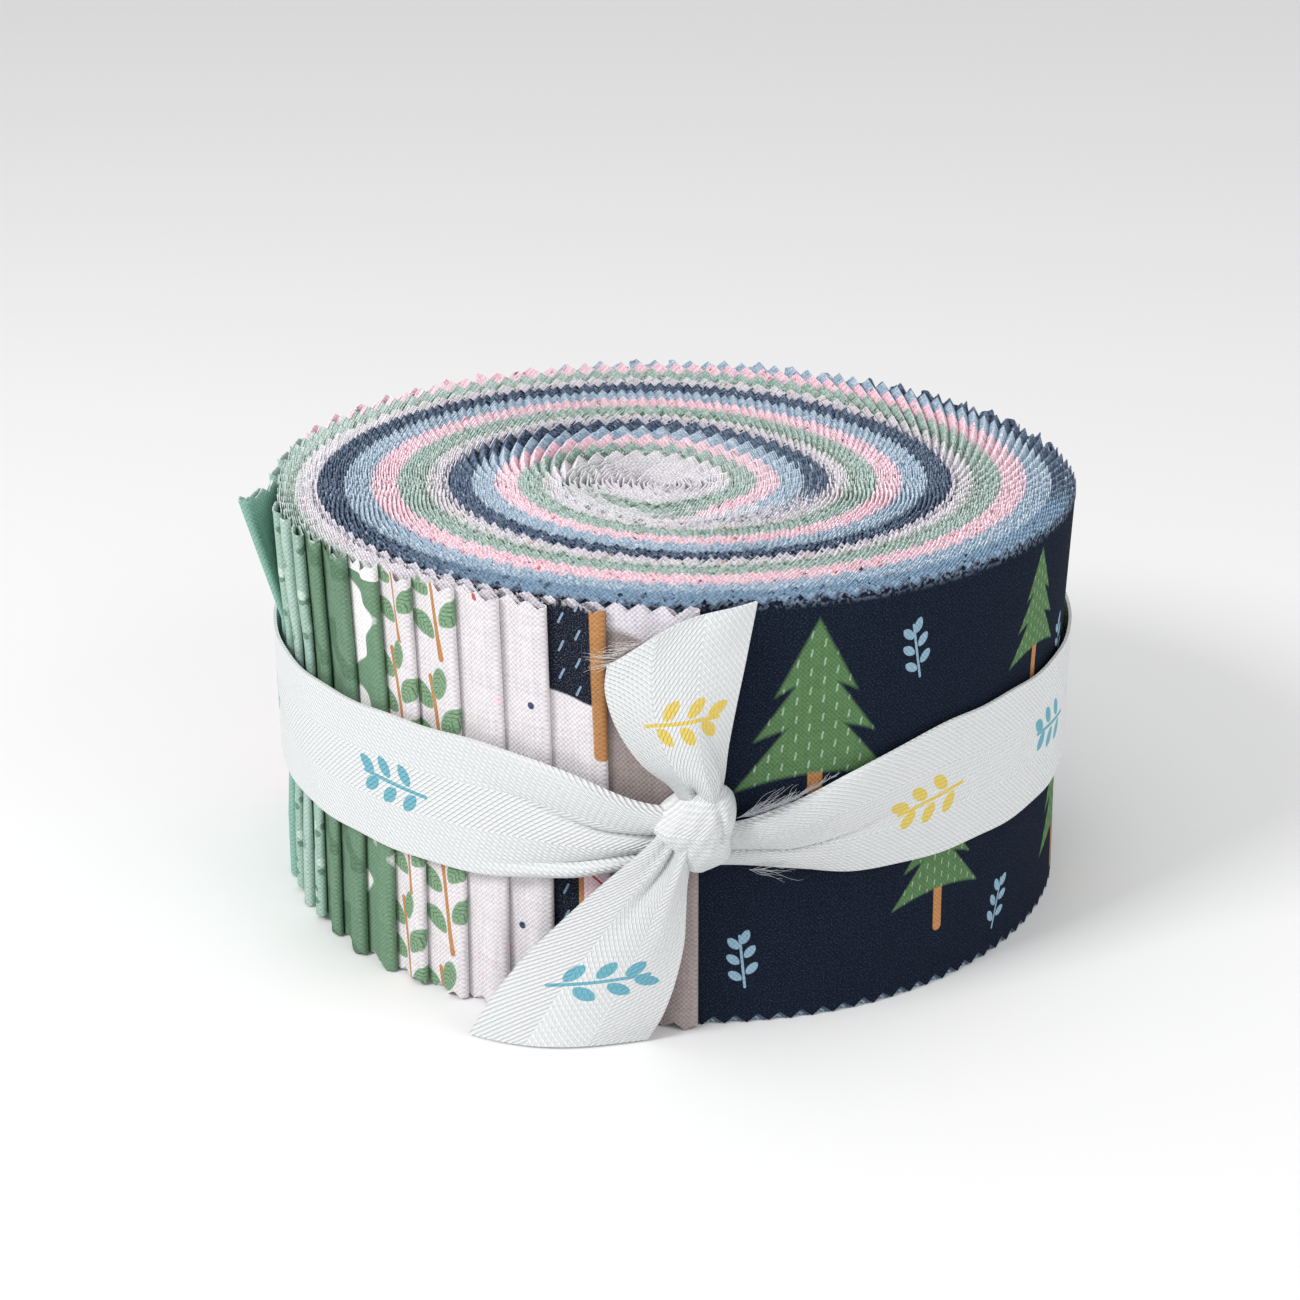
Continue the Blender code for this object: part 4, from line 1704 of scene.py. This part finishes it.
class Tape:
    """The tape tied round the roll: its round, its knot, its two free ends and loose threads."""

    UPPER_START = 1.0
    LOWER_START = 2.0

    def __init__(self, winding: Winding, sizes: TapeSizes, effects: Effects) -> None:
        """Prepare the tape.

        Args:
            winding: The roll that it goes round.
            sizes: Its sizes.
            effects: The shared effects.
        """
        self.winding = winding
        self.sizes = sizes
        self.random = np.random.default_rng(51)
        across = sizes.width / 2
        teal = [(0.333, 0.0, 1.5), (0.289, 0.0, 1.4)]
        teal += [(0.062 + 0.045 * i, 0.0, 1.5) for i in range(5)]
        placed = [(along, across + shift, turn, False) for along, shift, turn in teal]
        placed += [(0.031, across - 1.0 * MM, 1.7, True), (self.UPPER_START + 0.0125, 1.15 * across, 0.1, True)]
        placed += [(self.LOWER_START + 0.0235, 1.1 * across, 0.4, False)]
        self.material = TapeFinish("white twill tape", ornaments=tuple(placed)).build(effects)
        self.knot_material = TapeFinish("white twill knot", rib=0.62 * MM, on_cloth=False).build(effects)

    @staticmethod
    def _lobes(across: np.ndarray, creases: Sequence[np.ndarray]) -> np.ndarray:
        """Rounded folds between creases.

        Args:
            across: Shares of the tape's width, one for each row.
            creases: The shares at which each crease lies, by column.

        Returns:
            Heights from 0 to 1, by row and column.
        """
        columns = len(creases[0])
        edges = [np.zeros(columns), *creases, np.ones(columns)]
        height = np.zeros((len(across), columns))
        for low, high in zip(edges, edges[1:]):
            share = (across[:, None] - low[None, :]) / (high - low)[None, :]
            inside = (share >= 0) & (share <= 1)
            arch = np.sqrt(np.clip(4 * share * (1 - share), 0, 1))
            height = np.maximum(height, np.where(inside, arch, 0.0))
        return height

    def build_band(self) -> bpy.types.Object:
        """Make the round of tape.

        Returns:
            The band.
        """
        sizes = self.sizes
        table = sizes.band
        first, last = table[0].angle - 2.4, table[-1].angle + 2.4
        angles = np.linspace(first, last, 400)
        across = np.linspace(0, 1, 41)
        spots = [part.angle for part in table]
        kernel = np.hanning(15) / np.sum(np.hanning(15))

        def read(values: Sequence[float]) -> np.ndarray:
            """Draw a soft curve through the sections' values.

            Args:
                values: One value for each section.

            Returns:
                The values at the angles, in metres.
            """
            plain = np.interp(angles, spots, values)
            return np.convolve(np.pad(plain, 7, mode="edge"), kernel, mode="valid") * MM

        low = read([part.low for part in table])
        high = read([part.high for part in table])
        thick = read([part.thick for part in table])
        gather = (thick - 1.0 * MM) / (1.8 * MM)
        from_right = np.radians(angles - angles[0]) * self.winding.sizes.radius
        from_left = from_right[-1] - from_right
        right_crease = np.interp(from_right, (0, 9 * MM, 22 * MM, 34 * MM), (0.44, 0.30, 0.44, 0.52))
        left_crease = np.interp(from_left, (0, 8 * MM, 20 * MM, 30 * MM), (0.55, 0.52, 0.66, 0.80))
        left_second = np.interp(from_left, (0, 8 * MM, 20 * MM), (0.24, 0.18, 0.10))
        right_lobes = self._lobes(across, [right_crease])
        left_lobes = self._lobes(across, [left_second, left_crease])
        fade_right = ease(1 - from_right / (33 * MM)) ** 1.3
        fade_left = ease(1 - from_left / (30 * MM)) ** 1.2
        relief = right_lobes * (2.1 * fade_right)[None, :] + left_lobes * (2.3 * fade_left)[None, :]
        lap = 1 / (1 + np.exp(-(across[:, None] - left_crease[None, :]) / 0.03))
        relief = relief + lap * (0.8 * ease(1 - from_left / (32 * MM)))[None, :]
        lap = 1 / (1 + np.exp(-(across[:, None] - right_crease[None, :]) / 0.03))
        relief = relief + lap * (0.7 * ease(1 - from_right / (34 * MM)))[None, :]
        slack = 0.10 * np.sin(np.radians(angles) * 9.0) * (1 - gather)
        radius = self.winding.rim_radius(angles) + sizes.clear + sizes.thickness / 2
        out = radius[None, :] + (0.15 + slack[None, :] + relief) * MM
        height = low[None, :] + (high - low)[None, :] * across[:, None]
        edge = 0.12 * MM * np.sin(from_right * 420.0) * (1 - gather)
        height = height + edge[None, :] * (2 * across[:, None] - 1)
        grid = around(out, angles[None, :], height)
        cloth = np.stack(np.broadcast_arrays(from_right[None, :], (across * sizes.width)[:, None]), axis=-1)
        return sheet_from_grid("tape_round", grid, cloth, sizes.thickness, self.material)

    def _tail(
        self, name: str, table: Sequence[Sequence[float]], relief: Callable[[np.ndarray, np.ndarray], np.ndarray],
        start: float,
        bulge: float = 0.0,
    ) -> bpy.types.Object:
        """Make a free end of the tape.

        Args:
            name: The object's name.
            table: Its left and right edges, from the knot to the cut.
            relief: How far it stands out, in millimetres, from its share along and its share across.
            start: The cloth coordinate at the knot.
            bulge: How far the middle of its cut stands above the line between the corners.

        Returns:
            The tail.
        """
        sizes = self.sizes
        rows = smooth_table(table, 61)
        along_share = np.linspace(0, 1, 61)[:, None]
        across = np.linspace(0, 1, 41)
        left, right = rows[:, None, :3], rows[:, None, 3:]
        mixed = left + (right - left) * across[None, :, None]
        angle, height, radius = mixed[..., 0], mixed[..., 1] * MM, mixed[..., 2] * MM
        height = height + bulge * np.sin(math.pi * across)[None, :] * ease((along_share - 0.5) / 0.5)
        radius = radius + sizes.bow * np.sin(math.pi * across)[None, :] + 0.5 * MM
        radius = radius + relief(along_share, across[None, :]) * MM
        grid = around(radius, angle, height)
        middle = grid[:, 20]
        along = np.concatenate([[0.0], np.cumsum(np.linalg.norm(np.diff(middle, axis=0), axis=1))])
        cloth = np.stack(
            np.broadcast_arrays(start + along[:, None], (across * sizes.width)[None, :]), axis=-1
        )
        if grid[-1, 20, 2] < grid[0, 20, 2]:
            grid, cloth = grid[::-1], cloth[::-1]
        return sheet_from_grid(name, grid, cloth, sizes.thickness, self.material)

    def build_upper(self) -> bpy.types.Object:
        """Make the free end that points up, folded lengthwise where it leaves the knot.

        Returns:
            The tail.
        """

        def relief(along: np.ndarray, across: np.ndarray) -> np.ndarray:
            """The fold and the dimple above the knot.

            Args:
                along: Shares along the tail.
                across: Shares across it.

            Returns:
                Distances outward in millimetres.
            """
            edge = np.interp(along, (0.0, 0.12, 0.3, 0.55, 0.75), (1.0, 0.9, 0.78, 0.66, 0.6))
            depth = 1.7 * ease(along / 0.12) * ease((0.72 - along) / 0.5)
            step = 1 / (1 + np.exp(-(across - edge) / 0.022))
            swell = 0.9 * np.exp(-(((across - edge + 0.16) / 0.13) ** 2)) * ease((0.7 - along) / 0.6)
            dimple = -1.5 * np.exp(-(((across - 0.42) / 0.10) ** 2) - ((along - 0.1) / 0.09) ** 2)
            cut = 0.5 * np.sin(across * 9.0) * ease((along - 0.8) / 0.2)
            return swell - depth * step + dimple + cut

        table = ((271.4, 35.6, 62.6, 275.6, 35.8, 62.6), *self.sizes.upper)
        return self._tail("tape_end_upper", table, relief, self.UPPER_START, 2.1 * MM)

    def build_lower(self) -> bpy.types.Object:
        """Make the free end that hangs to the floor, rolled where it leaves the knot.

        Returns:
            The tail.
        """

        def relief(along: np.ndarray, across: np.ndarray) -> np.ndarray:
            """The roll at the right and the valley beside it.

            Args:
                along: Shares along the tail.
                across: Shares across it.

            Returns:
                Distances outward in millimetres.
            """
            crest = 0.80 - 0.06 * along
            roll = 1.7 * np.exp(-(((across - crest) / 0.15) ** 2)) * ease((0.75 - along) / 0.75)
            valley = -1.1 * np.exp(-(((across - 0.47 + 0.1 * along) / 0.09) ** 2)) * ease((0.7 - along) / 0.6)
            ribs = 0.25 * np.sin(across * 21.0) * ease((0.45 - along) / 0.45)
            return roll + valley + ribs + 0.35 * np.sin(across * 5.0) * along

        table = ((269.6, 33.6, 64.2, 272.2, 29.6, 64.0), *self.sizes.lower)
        return self._tail("tape_end_lower", table, relief, self.LOWER_START)

    def build_knot(self) -> bpy.types.Object:
        """Make the knot: the tape drawn tight over itself, seen as one creased lump.

        Returns:
            The knot.
        """
        sizes = self.sizes
        outline = np.array(sizes.knot_outline)
        turns = np.unwrap(np.arctan2(outline[:, 1], outline[:, 0]))
        reach = np.hypot(outline[:, 0], outline[:, 1])
        order = np.argsort(turns % (2 * math.pi))
        sides = np.arange(96) * 2 * math.pi / 96
        radius = np.interp(sides, (turns % (2 * math.pi))[order], reach[order], period=2 * math.pi)
        kernel = np.array([1.0, 2.0, 3.0, 2.0, 1.0]) / 9
        padded = np.concatenate([radius[-2:], radius, radius[:2]])
        radius = np.convolve(padded, kernel, mode="valid")
        shares = np.sin(np.linspace(0, math.pi / 2, 34))[::-1][:-1]
        back = self.winding.sizes.radius + 0.2 * MM
        builder = SheetBuilder()

        def surface(x: np.ndarray, y: np.ndarray, share: np.ndarray) -> np.ndarray:
            """Points on the knot's face.

            Args:
                x: Millimetres to the right of its middle.
                y: Millimetres above its middle.
                share: How far out toward its outline, from 0 to 1.

            Returns:
                The points.
            """
            deep = sizes.knot_depth / MM * (1 - share**2.7) ** 0.55
            roll = np.exp(-(((x - 3.1 + 0.10 * (y - 2.0) ** 2 * 0.5) / 0.42) ** 2)) * ease((y + 1.5) / 2.0)
            lower = np.exp(-(((x + 1.9 + 0.45 * (y + 1.0)) / 0.5) ** 2)) * ease((-y - 0.2) / 2.0)
            soft = 0.16 * np.sin(1.5 * x + 0.9 * y) + 0.10 * np.sin(3.1 * x - 1.7 * y + 1.0)
            deep = deep - (1.15 * roll + 0.5 * lower) * (1 - 0.5 * share) + soft * (1 - share**4)
            deep = np.maximum(deep, 0.0) + 0.35 * ease((x + 1.0) / 5.0) * (1 - share**2)
            angle = sizes.knot_angle + np.degrees(x * MM / self.winding.sizes.radius)
            return around(back + deep * MM, angle, sizes.knot_height + y * MM)

        for share in shares:
            ring = surface(radius * np.cos(sides) * share, radius * np.sin(sides) * share, np.full(96, share))
            builder.add_points(ring, ring[:, [0, 2]])
        middle = surface(np.zeros(1), np.zeros(1), np.zeros(1))
        foot = around(np.array([back]), np.array([sizes.knot_angle]), np.array([sizes.knot_height]))
        top = builder.add_points(middle, middle[:, [0, 2]])
        under = builder.add_points(foot, foot[:, [0, 2]])
        count, rings = len(sides), len(shares)
        for ring in range(rings):
            for i in range(count):
                a, b = ring * count + i, ring * count + (i + 1) % count
                if ring + 1 < rings:
                    builder.add_face((a, b, b + count, a + count), 0.0)
                else:
                    builder.add_face((a, b, top), 0.0)
                if ring == 0:
                    builder.add_face((b, a, under), 0.0)
        return builder.finish("tape_knot_folds", self.knot_material, 60.0)

    def _thread(
        self, builder: SheetBuilder, start: np.ndarray, heading: np.ndarray, length: float, thick: float
    ) -> None:
        """Add one wavy loose thread.

        Args:
            builder: Where it is collected.
            start: Its root.
            heading: The way that it points.
            length: How long it is.
            thick: Its radius at the root.
        """
        steps = 8
        sway = self.random.normal(0, 1, (3, 3))
        shares = np.linspace(0, 1, steps)
        path = start[None, :] + heading[None, :] * (length * shares)[:, None]
        for order in range(3):
            path = path + 0.09 * length / (order + 1) * np.outer(np.sin(shares * (order + 1) * 2.6) * shares, sway[order])
        side = np.cross(heading, (0.0, 0.0, 1.0))
        side /= np.linalg.norm(side) + 1e-9
        lift = np.cross(side, heading)
        first = builder.count
        for spot, share in zip(path, shares):
            width = thick * (1 - 0.6 * share)
            ring = [spot + width * (math.cos(t) * side + math.sin(t) * lift) for t in (0.5, 2.6, 4.7)]
            builder.add_points(np.array(ring), np.zeros((3, 2)))
        for step in range(steps - 1):
            for k in range(3):
                a, b = first + 3 * step + k, first + 3 * step + (k + 1) % 3
                builder.add_face((a, a + 3, b + 3, b), 0.0)
        end = first + 3 * (steps - 1)
        builder.add_face((first, first + 1, first + 2), 0.0)
        builder.add_face((end + 2, end + 1, end), 0.0)

    def build_threads(self, name: str, bundles: Sequence[Sequence[float]], effects: Effects) -> bpy.types.Object:
        """Make bundles of frayed threads.

        Args:
            name: The object's name.
            bundles: For each: angle, height and radius of both ends of its root line, how far it points
                to the right, up and out, its longest thread and how many threads it has.
            effects: The shared effects.

        Returns:
            The threads, as one object.
        """
        builder = SheetBuilder()
        for a0, z0, r0, a1, z1, r1, right, up, out, length, count in bundles:
            for _ in range(int(count)):
                share = self.random.uniform()
                angle = a0 + (a1 - a0) * share
                start = around(
                    np.array((r0 + (r1 - r0) * share) * MM), np.array(angle), np.array((z0 + (z1 - z0) * share) * MM)
                )
                turn = math.radians(angle)
                east = np.array([-math.sin(turn), math.cos(turn), 0.0])
                away = np.array([math.cos(turn), math.sin(turn), 0.0])
                heading = right * east + up * np.array([0.0, 0.0, 1.0]) + out * away
                heading = heading + self.random.normal(0, 0.16, 3)
                heading = heading / np.linalg.norm(heading)
                self._thread(builder, start, heading, length * MM * self.random.uniform(0.4, 1.0), 0.04 * MM)
        grey = srgb(186, 188, 194) if name == "frayed_tuft" else srgb(232, 230, 228)
        fibre = TapeFinish(name.replace("_", " "), on_cloth=False, white=grey, shade=grey).build(effects)
        return builder.finish(name, fibre, 80.0)


class Studio:
    """The pale floor, the soft lights and the camera."""

    def build(self) -> None:
        """Set up everything round the roll."""
        self._floor()
        self._lights()
        self._camera()

    @staticmethod
    def _floor() -> None:
        """Lay a plain pale floor."""
        bpy.ops.mesh.primitive_plane_add(size=6.0, location=(0.0, 0.0, 0.0))
        floor = bpy.context.active_object
        floor.name = "floor"
        paper = bpy.data.materials.new("pale paper")
        paper.use_nodes = True
        shader = paper.node_tree.nodes["Principled BSDF"]
        shader.inputs["Base Color"].default_value = (0.92, 0.92, 0.92, 1.0)
        shader.inputs["Roughness"].default_value = 0.9
        floor.data.materials.append(paper)

    @staticmethod
    def _lights() -> None:
        """Light it softly from all round, with a key from the front left."""
        world = bpy.data.worlds.new("studio air")
        world.use_nodes = True
        sky = world.node_tree.nodes["Background"]
        sky.inputs["Color"].default_value = (1.0, 1.0, 1.0, 1.0)
        sky.inputs["Strength"].default_value = 0.70
        bpy.context.scene.world = world
        bpy.context.scene.view_settings.view_transform = "Standard"
        lamps: Iterable[tuple[str, tuple[float, float, float], float, float]] = (
            ("key light", (-0.55, -0.42, 0.6), 0.25, 4.0),
            ("fill light", (0.6, -0.45, 0.45), 0.5, 1.4),
        )
        for name, spot, size, power in lamps:
            data = bpy.data.lights.new(name, "AREA")
            data.size = size
            data.energy = power
            lamp = bpy.data.objects.new(name, data)
            lamp.location = spot
            aim = math.atan2(spot[0], -spot[1])
            flat = math.hypot(spot[0], spot[1])
            lamp.rotation_euler = (math.atan2(flat, spot[2]), 0.0, aim)
            bpy.context.collection.objects.link(lamp)

    @staticmethod
    def _camera() -> None:
        """Stand the camera where the photograph was taken."""
        data = bpy.data.cameras.new("camera")
        data.lens = 68.25
        data.sensor_width = 36.0
        data.shift_x = -0.01736
        data.shift_y = 0.00347
        data.clip_start = 0.01
        camera = bpy.data.objects.new("camera", data)
        spot, aim = (0.0, -0.3592, 0.1753), (0.0, 0.0, 0.03175)
        camera.location = spot
        tilt = math.atan2(aim[1] - spot[1], spot[2] - aim[2])
        camera.rotation_euler = (tilt, 0.0, 0.0)
        bpy.context.collection.objects.link(camera)
        bpy.context.scene.camera = camera


class FabricRoll:
    """The whole subject: the strips and the tape."""

    def __init__(self) -> None:
        """Prepare the sizes, the spiral and the effects."""
        self.cloth = ClothSizes()
        self.winding = Winding(RollSizes(), self.cloth)
        self.effects = Effects()

    def build(self) -> None:
        """Make every piece, parent it to the root and hide the CAD parts that it replaces."""
        self._build_strips()
        self._build_tape()

    def _build_strips(self) -> None:
        """Make the forty strips."""
        finishes = [finish.build(self.effects) for finish in COTTONS]
        for number, chosen in enumerate(STRIP_FINISHES):
            piece = Strip(self.winding, number).build(finishes[chosen])
            flap = number == self.winding.flap_strip
            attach(piece, "root")
            if flap:
                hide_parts("fabric_roll", "loose_end")
            else:
                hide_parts("fabric_roll")
        LOG.info("made %d strips", len(STRIP_FINISHES))

    def _build_tape(self) -> None:
        """Make the tape's pieces."""
        sizes = TapeSizes()
        tape = Tape(self.winding, sizes, self.effects)
        band = tape.build_band()
        knot = tape.build_knot()
        upper = tape.build_upper()
        lower = tape.build_lower()
        corner = tape.build_threads("frayed_corner", sizes.corner_threads, self.effects)
        tuft = tape.build_threads("frayed_tuft", sizes.knot_threads, self.effects)
        stands_for = (
            (band, "tape_band"), (knot, "tape_knot"), (upper, "tape_tail_upper"),
            (lower, "tape_tail_lower"), (corner, "tape_tail_upper"), (tuft, "tape_band"),
        )
        for piece, node in stands_for:
            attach(piece, "root")
            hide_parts(node)


def main() -> None:
    """Load the frame, build the looks and set up the studio."""
    logging.basicConfig(level=logging.INFO)
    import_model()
    FabricRoll().build()
    Studio().build()


if __name__ == "__main__":
    main()
